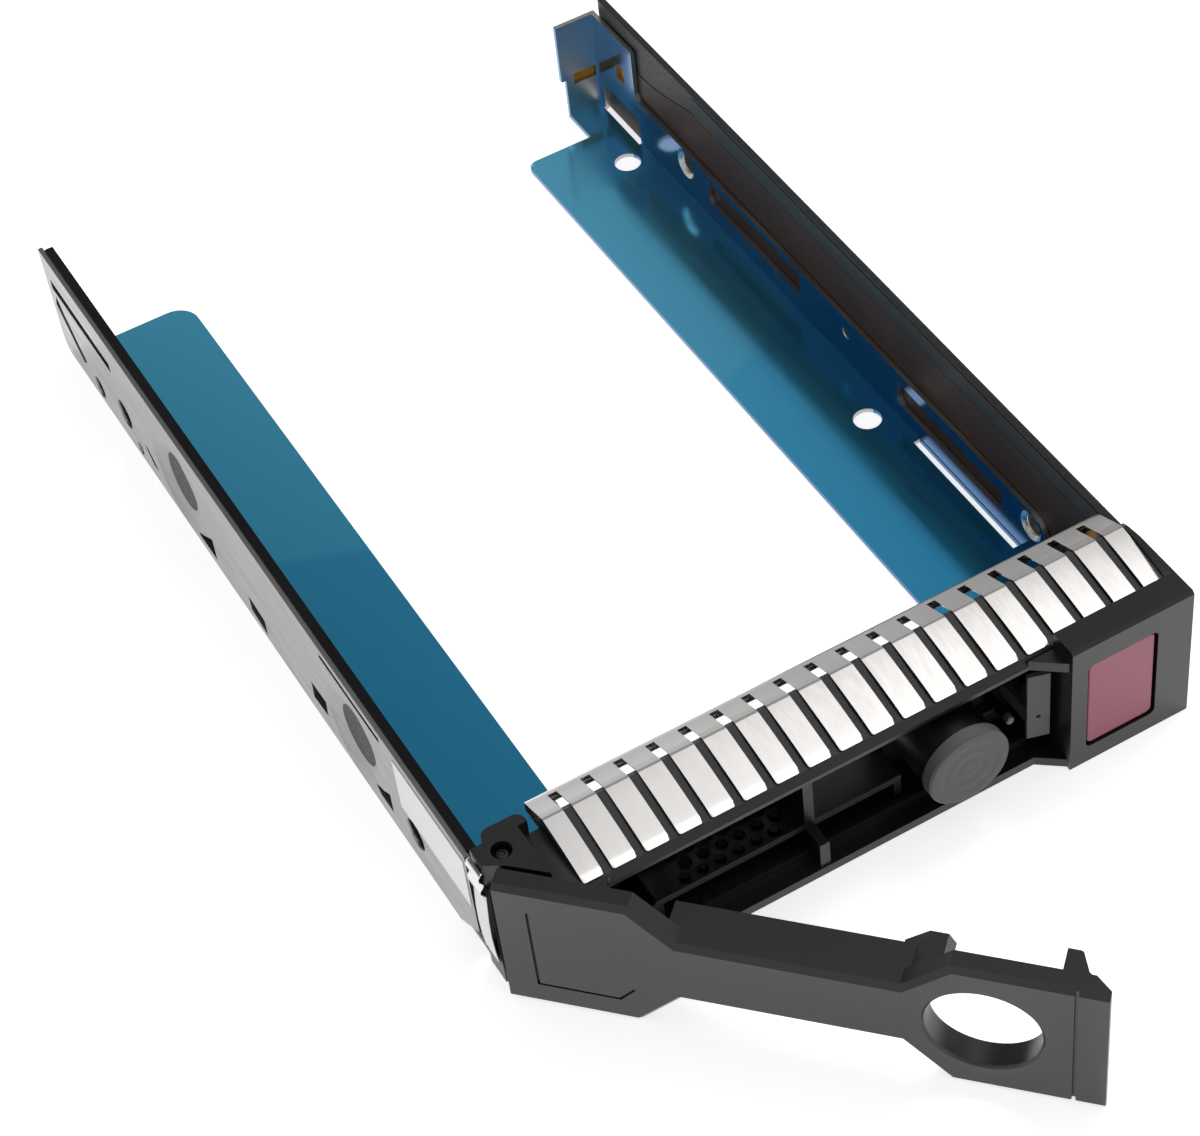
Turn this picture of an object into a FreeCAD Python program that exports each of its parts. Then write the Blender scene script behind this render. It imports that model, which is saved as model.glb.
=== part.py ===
import FreeCAD, Part
import math
import os
import Sketcher
from FreeCAD import Placement, Rotation, Vector

# Hot swap drive caddy for a 3.5 inch drive, with its ejector lever standing open.
# Millimetres. X runs across the caddy, Y into the bay, Z up. The origin is the middle of
# the front face at the level of the underside.

os.makedirs("parts", exist_ok=True)
doc = FreeCAD.newDocument("drive_caddy")

# Driving dimensions

TABLE = [
    ("drive_wide", 101.6, "width of the drive"),
    ("drive_gap", 0.2, "room between the drive and each side"),
    ("hole_first", 36.8, "first side screw of the drive, behind the front face"),
    ("hole_pitch", 101.6, "distance between the drive's side screws"),
    ("hole_high", 7.15, "height of the drive's side screws"),
    ("screw_bore", 1.9, "radius of the drive screw holes"),
    ("sink_bore", 2.6, "radius of their countersink"),
    ("sheet_thick", 0.8, "thickness of the rail sheet"),
    ("touch_gap", 0.1, "running gap between parts that slide on each other"),
    ("bezel_wide", 105.6, "width of the bezel"),
    ("bezel_high", 25.2, "height of the bezel"),
    ("bezel_back", 16.8, "rear face of the bezel"),
    ("back_wall", 1.8, "thickness of the bezel's rear wall"),
    ("floor_thick", 1.6, "thickness of the bezel's floor"),
    ("floor_front", 3.7, "front edge of the bezel's floor"),
    ("edge_chamfer", 0.8, "chamfer along the front of the lever"),
    ("block_chamfer", 0.5, "chamfer along the front of the button block"),
    ("shelf_low", 20.7, "underside of the finger shelf"),
    ("shelf_front", 4.2, "front edge of the finger shelf"),
    ("shelf_lip", 22.5, "height of the shelf just behind its lip"),
    ("shelf_crest", 24.75, "height of the shelf at its crest"),
    ("crest_at", 15.9, "where the shelf has its crest"),
    ("block_wide", 20.5, "width of the button block"),
    ("well_low", 3.2, "bottom of the button's well"),
    ("well_high", 20.8, "top of the button's well"),
    ("well_wide", 11.9, "width of the button's well"),
    ("well_side", 2.7, "wall between the cavity and the well"),
    ("well_deep", 13.0, "depth of the button's well"),
    ("button_gap", 0.35, "gap round the button"),
    ("button_thick", 5.0, "length of the button's cap"),
    ("button_slot", 1.6, "depth of the slot across the button's back"),
    ("button_travel", 2.0, "how far the button goes in"),
    ("wedge_low", 10.0, "underside of the cam wedge"),
    ("wedge_high", 3.0, "height of the cam wedge"),
    ("wedge_line", 9.8, "where the cam's slope meets the button's face line"),
    ("slide_high", 2.7, "height of the latch bar"),
    ("slide_front", 5.8, "front face of the latch bar"),
    ("slide_thick", 1.8, "thickness of the latch bar"),
    ("slide_reach", 4.3, "how far the latch bar stands out of the block"),
    ("hinge_side", 12.3, "hinge axis, from the bezel's left end"),
    ("pivot_deep", 7.8, "hinge axis, behind the lever's face"),
    ("heel_reach", 9.3, "left end of the lever, beyond the hinge axis"),
    ("heel_end", 1.2, "how far the heel stands out beyond its end rib"),
    ("open_angle", 46.0, "how far the lever stands open"),
    ("lever_long", 80.6, "length of the lever"),
    ("plate_thick", 3.2, "depth of the lever's heel and head"),
    ("heel_long", 17.4, "length of the full height heel"),
    ("heel_slope", 6.2, "length of the slope from the heel to the grip"),
    ("grip_low", 6.9, "underside of the grip"),
    ("grip_high", 19.0, "top of the grip"),
    ("grip_end", 27.2, "far end of the grip, from the lever's free end"),
    ("head_slope", 6.6, "length of the slope from the grip to the head"),
    ("grip_deep", 7.4, "depth of the grip"),
    ("grip_wall", 1.3, "wall of the hollow grip"),
    ("ring_at", 16.3, "middle of the finger hole, from the lever's free end"),
    ("ring_high", 12.7, "height of the finger hole's middle"),
    ("ring_bore", 7.9, "radius of the finger hole"),
    ("tooth_at", 7.2, "near side of the latch tooth, from the lever's free end"),
    ("tooth_deep", 10.1, "reach of the latch tooth behind the lever's face"),
    ("tooth_high", 20.2, "top of the latch tooth"),
    ("barrel_round", 3.0, "radius of the hinge barrel"),
    ("barrel_low", 2.8, "bottom of the hinge barrel"),
    ("barrel_high", 20.4, "top of the hinge barrel"),
    ("ear_thick", 2.4, "thickness of the lower hinge ear"),
    ("ear_round", 4.1, "radius of the hinge ears"),
    ("pin_round", 1.2, "radius of the hinge pin"),
    ("pin_fit", 0.05, "running clearance round the hinge pin"),
    ("coil_low", 13.6, "bottom of the gap for the lever spring"),
    ("coil_high", 17.8, "top of the gap for the lever spring"),
    ("coil_wire", 0.3, "radius of the spring wire"),
    ("rail_high", 22.4, "height of the left wall with its liner"),
    ("rail_front", 18.3, "front edge of the rail walls"),
    ("left_end", 166.0, "rear edge of the left wall"),
    ("left_flange_end", 163.3, "rear edge of the left flange"),
    ("flange_inner", 32.0, "inner edge of the flanges from the middle"),
    ("liner_thick", 1.4, "thickness of the left liner"),
    ("liner_end", 164.8, "rear edge of the left liner"),
    ("lip_high", 0.3, "how far the liner stands above the wall"),
    ("dish_round", 9.0, "radius of the dished holes"),
    ("dish_slope", 4.0, "width of the slope round a dished hole"),
    ("dish_high", 9.9, "height of the dished holes"),
    ("dish_front_at", 55.3, "front dished hole"),
    ("dish_rear_at", 116.5, "rear dished hole"),
    ("right_end", 169.2, "rear face of the end tab"),
    ("right_flange_end", 161.2, "rear edge of the wide right flange"),
    ("right_low", 10.2, "height of the right wall"),
    ("tall_from", 155.0, "where the right wall becomes tall"),
    ("tall_high", 20.0, "height of the tall part of the right wall"),
    ("tab_wide", 8.0, "width of the upright end tab"),
    ("mount_bore", 2.3, "radius of the holes in the right flange"),
    ("mount_side", 46.6, "those holes from the middle"),
    ("mount_first", 75.3, "front hole of the right flange"),
    ("mount_pitch", 76.2, "distance between those holes"),
    ("tab_high", 11.0, "height of the rails' front tabs"),
    ("ribbon_room", 0.2, "room for the ribbon between wall and cover"),
    ("cover_thick", 1.4, "thickness of the side cover"),
    ("cover_high", 23.1, "height of the side cover"),
    ("cover_end", 167.5, "rear edge of the side cover"),
    ("ribbon_thick", 0.12, "thickness of the ribbon"),
    ("ribbon_top", 19.0, "top edge of the ribbon"),
    ("ribbon_turn", 137.0, "where the ribbon starts to narrow"),
    ("strip_left", 10.6, "left end of the finger strip, from the bezel's left end"),
    ("strip_right", 0.9, "right end of the finger strip, from the bezel's right end"),
    ("strip_thick", 0.2, "thickness of the finger strip"),
    ("finger_count", 19, "number of fingers"),
    ("finger_pitch", 5.08, "distance from finger to finger"),
    ("first_slot", 3.8, "middle of the first slot, from the strip's left end"),
    ("slot_wide", 1.4, "width of the slots between the fingers"),
    ("finger_front", 5.05, "tips of the fingers"),
    ("fold_back", 21.6, "rear fold of the finger strip"),
    ("fold_high", 22.8, "height of the rear fold"),
    ("inner_shelf", 7.0, "top of the perforated inner shelf"),
    ("inner_front", 8.0, "front edge of the inner shelf"),
    ("disc_at", 17.2, "middle of the indicator lens, left of the button block"),
    ("disc_round", 6.6, "radius of the indicator lens"),
    ("disc_front", 0.4, "how far the lens stands in front of the face"),
    ("disc_thick", 2.0, "thickness of the indicator lens"),
    ("guide_round", 6.2, "radius of the light guide"),
    ("board_thick", 1.2, "thickness of the lamp board"),
    ("lamp_thick", 1.0, "thickness of a lamp"),
    ("screw_round", 1.2, "radius of the rail screws"),
    ("head_round", 2.2, "radius of their heads"),
    ("head_thick", 1.2, "thickness of their heads"),
    ("screw_near", 39.0, "inner rail screw from the middle"),
    ("screw_pitch", 7.0, "distance between the two screws of a rail"),
    ("screw_high", 6.0, "height of the rail screws"),
    ("clip_thick", 0.25, "thickness of the ground clip"),
    ("label_thick", 0.1, "thickness of the label"),
]

sheet = doc.addObject("Spreadsheet::Sheet", "sizes")


class Size:
    """A number together with the sheet expression that gives it."""

    def __init__(self, value, text=None):
        self.value = float(value)
        self.text = "%.6g" % value if text is None else text

    def join(self, other, sign, result):
        return Size(result, "(%s %s %s)" % (self.text, sign, other.text))

    def __add__(self, other):
        other = size(other)
        return self.join(other, "+", self.value + other.value)

    def __sub__(self, other):
        other = size(other)
        return self.join(other, "-", self.value - other.value)

    def __mul__(self, other):
        other = size(other)
        return self.join(other, "*", self.value * other.value)

    def __truediv__(self, other):
        other = size(other)
        return self.join(other, "/", self.value / other.value)

    def __radd__(self, other):
        return size(other) + self

    def __rsub__(self, other):
        return size(other) - self

    def __rmul__(self, other):
        return size(other) * self

    def __neg__(self):
        return size(0) - self


def size(number):
    return number if isinstance(number, Size) else Size(number)


class Dims:
    pass


d = Dims()
for row, (alias, number, note) in enumerate(TABLE, start=1):
    sheet.set("A%d" % row, note)
    sheet.set("B%d" % row, "%g" % number)
    sheet.setAlias("B%d" % row, alias)
    setattr(d, alias, Size(number, "sizes." + alias))
doc.recompute()

# Sketches and features


def place_sketch(body, plane, at, name):
    sketch = body.newObject("Sketcher::SketchObject", name)
    origin = [f for f in body.Origin.OriginFeatures if f.Role == plane + "_Plane"][0]
    sketch.AttachmentSupport = [(origin, "")]
    sketch.MapMode = "FlatFace"
    at = -size(at) if plane == "XZ" else size(at)
    sketch.AttachmentOffset = Placement(Vector(0, 0, at.value), Rotation())
    sketch.setExpression("AttachmentOffset.Base.z", at.text)
    return sketch


def drive(sketch, kind, geo, pos, target):
    """Bind one coordinate or radius of the sketch to its size."""
    if kind == "Radius":
        index = sketch.addConstraint(Sketcher.Constraint(kind, geo, target.value))
    else:
        index = sketch.addConstraint(Sketcher.Constraint(kind, geo, pos, target.value))
    sketch.setExpression("Constraints[%d]" % index, target.text)


def outline(*points):
    """Closed outline through points whose coordinates are sizes."""
    points = [(size(x), size(y)) for x, y in points]

    def draw(sketch):
        first = sketch.GeometryCount
        count = len(points)
        for i in range(count):
            a, b = points[i], points[(i + 1) % count]
            line = Part.LineSegment(Vector(a[0].value, a[1].value, 0), Vector(b[0].value, b[1].value, 0))
            sketch.addGeometry(line, False)
        for i in range(count):
            following = first + (i + 1) % count
            sketch.addConstraint(Sketcher.Constraint("Coincident", first + i, 2, following, 1))
        for i in range(count):
            drive(sketch, "DistanceX", first + i, 1, points[i][0])
            drive(sketch, "DistanceY", first + i, 1, points[i][1])
    return draw


def oblong(x0, y0, x1, y1):
    return outline((x0, y0), (x1, y0), (x1, y1), (x0, y1))


def disc(x, y, radius):
    x, y, radius = size(x), size(y), size(radius)

    def draw(sketch):
        index = sketch.addGeometry(Part.Circle(Vector(x.value, y.value, 0), Vector(0, 0, 1), radius.value), False)
        drive(sketch, "DistanceX", index, 3, x)
        drive(sketch, "DistanceY", index, 3, y)
        drive(sketch, "Radius", index, 0, radius)
    return draw


def extrude(kind, body, plane, low, high, loops, name):
    low, high = size(low), size(high)
    start = high if (plane == "XZ") == (kind == "Pad") else low
    sketch = place_sketch(body, plane, start, name + "_sketch")
    for draw in loops:
        draw(sketch)
    feature = body.newObject("PartDesign::" + kind, name)
    feature.Profile = sketch
    length = high - low
    feature.Length = length.value
    feature.setExpression("Length", length.text)
    return feature


def pad(body, plane, low, high, loops, name):
    """Material between two distances along the plane's normal axis."""
    return extrude("Pad", body, plane, low, high, loops, name)


def cut(body, plane, low, high, loops, name):
    """Remove material between two distances along the plane's normal axis."""
    doc.recompute()
    before = body.Shape.Volume
    low, high = size(low), size(high)
    start = low if plane == "XZ" else high
    sketch = place_sketch(body, plane, start, name + "_sketch")
    for draw in loops:
        draw(sketch)
    feature = body.newObject("PartDesign::Pocket", name)
    feature.Profile = sketch
    length = high - low
    feature.Length = length.value
    feature.setExpression("Length", length.text)
    doc.recompute()
    if not body.Shape.Volume < before:
        raise RuntimeError("%s in %s cuts nothing" % (name, body.Label))
    return feature


def cone_cut(body, plane, at, x, y, wide, narrow, deep, name):
    """Conical sink: wide at the start, narrow at its depth, by a loft between two circles."""
    doc.recompute()
    before = body.Shape.Volume
    first = place_sketch(body, plane, at, name + "_mouth")
    disc(x, y, wide)(first)
    last = place_sketch(body, plane, size(at) + deep, name + "_foot")
    disc(x, y, narrow)(last)
    feature = body.newObject("PartDesign::SubtractiveLoft", name)
    feature.Profile = first
    feature.Sections = [last]
    feature.Ruled = True
    doc.recompute()
    if not body.Shape.Volume < before:
        raise RuntimeError("%s in %s cuts nothing" % (name, body.Label))
    return feature


def dress(body, kind, amount, chooser, name):
    """Fillet or chamfer the edges that the chooser picks."""
    doc.recompute()
    base = body.Tip
    names = ["Edge%d" % (i + 1) for i, edge in enumerate(base.Shape.Edges) if chooser(edge)]
    if not names:
        raise RuntimeError("%s in %s finds no edge" % (name, body.Label))
    feature = body.newObject("PartDesign::" + kind, name)
    feature.Base = (base, names)
    amount = size(amount)
    prop = "Radius" if kind == "Fillet" else "Size"
    setattr(feature, prop, amount.value)
    feature.setExpression(prop, amount.text)
    doc.recompute()
    return feature


def straight_edge(axis, *spots):
    """Chooser of the straight edges along an axis that pass through the given spots."""
    keep = [i for i in range(3) if i != "XYZ".index(axis)]
    spots = [(size(a).value, size(b).value) for a, b in spots]

    def test(edge):
        if len(edge.Vertexes) != 2 or not isinstance(edge.Curve, (Part.Line, Part.LineSegment)):
            return False
        a, b = edge.Vertexes[0].Point, edge.Vertexes[1].Point
        for u, v in spots:
            if all(abs(p[keep[0]] - u) < 0.01 and abs(p[keep[1]] - v) < 0.01 for p in (a, b)):
                return True
        return False
    return test


def new_body(name):
    body = doc.addObject("PartDesign::Body", name)
    body.Label = name
    return body


def ride_on_lever(body):
    """Pieces of the lever are drawn round the hinge axis, lever shut, and swung open here."""
    body.Placement = Placement(Vector(hinge_x.value, d.pivot_deep.value, 0),
                               Rotation(Vector(0, 0, 1), -d.open_angle.value))
    body.setExpression("Placement.Base.x", hinge_x.text)
    body.setExpression("Placement.Base.y", "sizes.pivot_deep")
    body.setExpression("Placement.Rotation.Angle", "360 - sizes.open_angle")
    body.setExpression("Placement.Rotation.Axis.x", "0")
    body.setExpression("Placement.Rotation.Axis.y", "0")
    body.setExpression("Placement.Rotation.Axis.z", "1")


# Places that several pieces share

half = d.bezel_wide / 2
inner = d.drive_wide / 2 + d.drive_gap
left_sheet = inner + d.liner_thick
left_face = left_sheet + d.sheet_thick
right_sheet = inner + d.sheet_thick
cover_in = right_sheet + d.ribbon_room
cover_out = cover_in + d.cover_thick
block_left = half - d.block_wide
disc_x = block_left - d.disc_at
well_left = block_left + d.well_side
well_right = well_left + d.well_wide
back_in = d.bezel_back - d.back_wall
hole_last = d.hole_first + d.hole_pitch
hinge_x = d.hinge_side - half
strip_from = d.strip_left - half
strip_to = half - d.strip_right
slot_from = strip_from + d.first_slot
shelf_left = strip_from - 0.1
shelf_end = d.shelf_crest - 0.4

# Bezel

bezel = new_body("front_bezel")
pad(bezel, "YZ", shelf_left, block_left, [outline(
    (d.shelf_front, d.shelf_low), (d.shelf_front, d.shelf_low + 0.7), (d.shelf_front + 1.0, d.shelf_lip),
    (d.crest_at, d.shelf_crest), (d.bezel_back, shelf_end), (d.bezel_back, 0), (d.floor_front, 0),
    (d.floor_front, d.floor_thick), (back_in, d.floor_thick), (back_in, d.shelf_low))], "cavity_frame")
pad(bezel, "YZ", block_left, half, [outline(
    (0, 0), (d.bezel_back, 0), (d.bezel_back, shelf_end), (d.crest_at, d.shelf_crest),
    (d.finger_front - 0.3, d.shelf_lip), (d.finger_front - 0.3, d.bezel_high),
    (d.block_chamfer, d.bezel_high), (0, d.bezel_high - d.block_chamfer))], "button_block")
pad(bezel, "YZ", strip_to + d.touch_gap, half, [outline(
    (d.shelf_front, d.bezel_high), (d.shelf_front, d.shelf_low), (d.bezel_back - 1.1, d.shelf_low),
    (d.bezel_back - 1.1, d.bezel_high - 0.4), (d.bezel_back - 4.0, d.bezel_high))], "end_rim")

# Hinge end: left wall, rear wall, ears above and below. The ears' slanting front runs along
# the back of the open lever.
ear_front = d.pivot_deep - d.ear_round
pad(bezel, "XY", 0, d.shelf_low, [outline(
    (-half, d.bezel_back), (-half, 12.5), (-half + 1.6, 12.5), (-half + 1.6, back_in),
    (shelf_left + 0.4, back_in), (shelf_left + 0.4, d.bezel_back))], "end_wall")
slant = [(-half, d.bezel_back), (-half, 13.6), (hinge_x - 9.4, d.pivot_deep + 4.0),
         (hinge_x - 2.8, d.pivot_deep - 2.6)]
pad(bezel, "XY", 0, d.ear_thick, [outline(
    *slant, (hinge_x, ear_front + 0.5), (-half + 18.3, ear_front + 0.5), (-half + 18.3, d.bezel_back))],
    "lower_ear")
pad(bezel, "XY", 0, d.ear_thick, [disc(hinge_x, d.pivot_deep, d.ear_round)], "lower_ear_round")
pad(bezel, "XY", d.shelf_low, d.shelf_lip, [outline(
    *slant, (shelf_left, d.shelf_front), (shelf_left, d.bezel_back))], "upper_ear")
pad(bezel, "XY", d.shelf_lip, d.bezel_high, [outline(
    (-half, d.bezel_back), (-half, 13.6), (hinge_x - 9.4, d.pivot_deep + 4.0), (hinge_x - 5.0, d.pivot_deep - 0.4),
    (hinge_x - 5.0, d.bezel_back))], "corner_block")
pad(bezel, "XY", d.shelf_low, d.shelf_lip, [disc(hinge_x, d.pivot_deep, d.ear_round - 0.3)],
    "upper_ear_round")
pad(bezel, "XZ", d.bezel_back, d.bezel_back + 2.0, [oblong(
    -half + 2.2, d.tab_high + 1.5, -half + 8.8, d.bezel_high)], "rear_boss")
dress(bezel, "Fillet", 1.5, straight_edge(
    "Z", (-half + 2.2, d.bezel_back + 2.0), (-half + 8.8, d.bezel_back + 2.0)), "rear_boss_round")
cut(bezel, "XY", d.bezel_high - 2.5, d.bezel_high, [disc(-half + 3.6, 14.4, 1.5)], "corner_recess")

# Inner shelf with its perforations, the ribs and the floor ledge
pad(bezel, "XZ", d.inner_front, back_in, [outline(
    (-half + 18.0, 0.8), (9.0, 0.8), (9.0, d.inner_shelf), (-half + 22.0, d.inner_shelf),
    (-half + 18.0, d.inner_shelf - 4.0))], "inner_shelf_block")
cut(bezel, "XZ", d.inner_front - 1, back_in, [
    oblong(-5.4, d.floor_thick, 7.8, d.inner_shelf - 1.2),
    oblong(-half + 23.0, d.floor_thick, -7.0, d.inner_shelf - 1.2)], "shelf_hollow")
pad(bezel, "YZ", -7.0, -5.4, [outline(
    (d.floor_front + 0.3, 0.8), (back_in, 0.8), (back_in, d.shelf_low), (d.inner_front - 0.2, d.shelf_low),
    (d.inner_front - 0.2, 6.4), (d.floor_front + 0.3, 6.4))], "middle_rib")
pad(bezel, "XZ", 6.6, 7.6, [oblong(-half + 18.0, 0.8, block_left - 3.0, 3.0)], "floor_ledge")

honeycomb = []
for line in range(3):
    for place in range(6):
        honeycomb.append((-25.6 + 2.9 * place + (1.45 if line == 1 else 0.0), 9.4 + 2.15 * line))


def hexagon(x, y, radius):
    return outline(*[(x + radius * math.cos(math.radians(60 * i + 30)),
                      y + radius * math.sin(math.radians(60 * i + 30))) for i in range(6)])


cut(bezel, "XY", d.inner_shelf - 1.3, d.inner_shelf + 0.1, [hexagon(x, y, 1.05) for x, y in honeycomb],
    "honeycomb")
vents = [oblong(x, 10.6, x + 2.4, 18.4) for x in (-29.4, -25.6, -21.8, -18.0, -14.2, -10.4)]
vents.append(oblong(-4.6, 7.8, 8.6, 19.6))
cut(bezel, "XZ", back_in - 0.1, d.bezel_back, vents, "rear_vents")

# Gussets beside the block, on the floor and at the shelf's lip
for label, low, high in (("floor_gusset", 0, d.floor_thick), ("lip_gusset", d.shelf_low, d.shelf_lip)):
    pad(bezel, "XY", low, high, [outline(
        (block_left - 4.4, d.shelf_front + 0.1), (block_left + 0.1, 0.7), (block_left + 0.1, d.shelf_front + 0.1))],
        label)

# Button well, latch window, lens seats
cut(bezel, "XZ", 0, d.well_deep, [oblong(well_left, d.well_low, well_right, d.well_high)], "button_well")
dress(bezel, "Fillet", 1.0, straight_edge(
    "Y", (well_left, d.well_low), (well_right, d.well_low), (well_left, d.well_high),
    (well_right, d.well_high)), "well_rounding")
slide_low = d.wedge_low + d.wedge_high + 0.3
cut(bezel, "YZ", block_left, well_left, [oblong(
    d.slide_front - d.touch_gap, slide_low - d.touch_gap, d.slide_front + d.slide_thick + d.touch_gap,
    slide_low + d.slide_high + d.touch_gap)], "latch_window")
pin_spot = (hinge_x, d.pivot_deep)
cut(bezel, "XY", 0.8, d.ear_thick, [disc(*pin_spot, d.pin_round)], "lower_pin_hole")
cut(bezel, "XY", d.shelf_low, d.shelf_low + 1.4, [disc(*pin_spot, d.pin_round)], "upper_pin_hole")
screw_far = d.screw_near + d.screw_pitch
cut(bezel, "XZ", back_in, d.bezel_back, [
    disc(-d.screw_near, d.screw_high, d.screw_round), disc(-screw_far, d.screw_high, d.screw_round)],
    "left_screw_holes")
cut(bezel, "XZ", d.bezel_back - 4.0, d.bezel_back, [
    disc(d.screw_near, d.screw_high, d.screw_round), disc(screw_far, d.screw_high, d.screw_round)],
    "right_screw_holes")

# Lever, drawn shut with the hinge axis at the origin: u along it, v behind the axis


def along(distance):
    return size(distance) - d.heel_reach


def behind(depth):
    return size(depth) - d.pivot_deep


lever = new_body("lever")
heel_slope_end = d.heel_long + d.heel_slope
grip_stop = d.lever_long - d.grip_end
head_start = grip_stop + d.head_slope
ring_spot = d.lever_long - d.ring_at
tooth_spot = d.lever_long - d.tooth_at
heel_left = along(-d.heel_end)
pad(lever, "XZ", behind(0), behind(d.plate_thick), [outline(
    (heel_left, 0), (along(d.heel_long), 0), (along(heel_slope_end), d.grip_low),
    (along(grip_stop), d.grip_low), (along(head_start), 0), (along(d.lever_long), 0),
    (along(d.lever_long), d.bezel_high), (along(head_start), d.bezel_high),
    (along(grip_stop), d.grip_high), (along(heel_slope_end), d.grip_high),
    (along(d.heel_long), d.bezel_high), (heel_left, d.bezel_high))], "face_plate")
cut(lever, "XY", 0, d.bezel_high, [outline(
    (along(d.lever_long - 2.4), behind(d.plate_thick + 0.1)), (along(d.lever_long + 0.1), behind(1.1)),
    (along(d.lever_long + 0.1), behind(d.plate_thick + 0.1)))], "head_corner")
front = behind(0)


def front_rim(edge):
    """Edges round the outside of the front face, without the upright ones at its ends."""
    points = [v.Point for v in edge.Vertexes]
    if len(points) != 2 or any(abs(p.y - front.value) > 0.01 for p in points):
        return False
    return abs(points[0].x - points[1].x) > 0.01


dress(lever, "Chamfer", d.edge_chamfer, front_rim, "face_chamfer")
pad(lever, "XZ", behind(d.plate_thick), behind(d.grip_deep), [outline(
    (along(heel_slope_end - 2.0), d.grip_low), (along(grip_stop + 2.4), d.grip_low),
    (along(grip_stop + 2.4), d.grip_high), (along(heel_slope_end - 2.0), d.grip_high))], "grip_channel")
cut(lever, "XZ", behind(1.8), behind(d.grip_deep), [oblong(
    along(heel_slope_end - 2.0 + d.grip_wall), d.grip_low + d.grip_wall,
    along(grip_stop + 2.4 - d.grip_wall), d.grip_high - d.grip_wall)], "grip_hollow")
ribs = [oblong(along(spot), d.grip_low + 1.0, along(spot) + 1.0, d.grip_high - 1.0)
        for spot in (grip_stop - 22.0, grip_stop - 14.4, grip_stop - 6.8)]
pad(lever, "XZ", behind(1.7), behind(5.6), ribs, "grip_ribs")
pad(lever, "XZ", behind(d.plate_thick), behind(d.tooth_deep - 1.1), [outline(
    *[(along(grip_stop + spot), high) for spot, high in (
        (-1.2, 16.4), (1.4, 14.4), (2.6, 14.4), (3.8, 16.4), (5.7, 18.4), (4.7, 20.2), (2.2, 20.2), (-1.2, 17.2))])],
    "grip_end_hump")
pad(lever, "XZ", behind(d.plate_thick), behind(d.plate_thick + 0.7), [
    disc(along(ring_spot), d.ring_high, d.ring_bore + 1.2)], "finger_hole_collar")
cut(lever, "XZ", behind(-0.1), behind(d.plate_thick + 0.8), [disc(along(ring_spot), d.ring_high, d.ring_bore)],
    "finger_hole")


def hole_rim(edge):
    """Circular edge of the finger hole on the front face."""
    return isinstance(edge.Curve, Part.Circle) and abs(edge.Curve.Radius - d.ring_bore.value) < 0.01 \
        and abs(edge.Vertexes[0].Point.y - front.value) < 0.01


dress(lever, "Chamfer", 0.4, hole_rim, "finger_hole_chamfer")
barb = d.tooth_deep - 2.2
pad(lever, "XY", 12.4, d.tooth_high, [oblong(
    along(tooth_spot), behind(d.plate_thick), along(tooth_spot + 1.8), behind(d.tooth_deep))], "tooth_stem")
pad(lever, "XY", 12.4, 16.8, [outline(
    (along(tooth_spot), behind(d.plate_thick)), (along(tooth_spot + 1.8), behind(d.plate_thick)),
    (along(tooth_spot + 1.8), behind(barb)), (along(tooth_spot + 4.2), behind(barb)),
    (along(tooth_spot + 4.2), behind(barb + 0.6)), (along(tooth_spot + 1.9), behind(d.tooth_deep)),
    (along(tooth_spot), behind(d.tooth_deep)))], "latch_tooth")
pad(lever, "XY", d.tooth_high - 1.5, d.tooth_high, [outline(
    (along(tooth_spot + 0.4), behind(d.plate_thick)), (along(tooth_spot + 5.0), behind(d.plate_thick)),
    (along(tooth_spot + 2.1), behind(d.tooth_deep - 0.1)), (along(tooth_spot + 0.4), behind(d.tooth_deep - 0.1)))],
    "tooth_brace")
pad(lever, "XY", 3.2, 19.8, [oblong(
    along(0.4), behind(d.plate_thick), along(1.6), behind(4.2))], "heel_end_rib")
pad(lever, "XY", d.barrel_low, d.barrel_high, [disc(0, 0, d.barrel_round)], "barrel")
pad(lever, "XY", d.barrel_low, d.barrel_high, [oblong(
    -d.barrel_round + 0.6, behind(d.plate_thick), d.barrel_round - 0.6, -1.0)], "barrel_web")
pad(lever, "XY", 4.0, 19.0, [outline(
    (along(0.2), behind(d.plate_thick)), (along(4.4), behind(d.plate_thick)), (along(3.0), behind(7.0)),
    (along(1.4), behind(8.0)), (along(0.2), behind(7.4)))], "ejector_cam")
cut(lever, "XY", d.coil_low, d.coil_high, [oblong(-3.4, -d.barrel_round - 0.9, 3.4, 3.4)], "coil_gap")
cut(lever, "XY", 0, d.bezel_high, [disc(0, 0, d.pin_round + d.pin_fit)], "pin_bore")
cut(lever, "XZ", front, front + 0.4, [outline(
    (along(3.1), 20.6), (along(3.1), 4.4), (along(14.9), 4.4), (along(17.2), 7.2), (along(16.9), 7.45),
    (along(14.7), 4.8), (along(3.5), 4.8), (along(3.5), 20.6))], "heel_groove")
cut(lever, "XZ", front, front + 0.5, [oblong(
    along(d.lever_long - 4.5), -0.1, along(d.lever_long - 4.0), d.bezel_high + 0.1)], "head_groove")
cut(lever, "XZ", front, behind(d.plate_thick), [oblong(
    along(d.lever_long - 4.65), -0.1, along(d.lever_long - 3.85), 0.9)], "head_notch")
ride_on_lever(lever)

# Hinge pin and the torsion spring round it

pin = new_body("hinge_pin")
pad(pin, "XY", 0.8, d.shelf_low + 1.4, [disc(*pin_spot, d.pin_round)], "pin")
dress(pin, "Chamfer", 0.25, lambda edge: isinstance(edge.Curve, Part.Circle), "pin_ends")

coil_mean = d.pin_round.value + d.pin_fit.value + d.coil_wire.value + 0.25
coil_pitch = 1.1
coil_turns = 2 + 22 / 360
leg_turn = math.radians(180 + 22)


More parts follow.
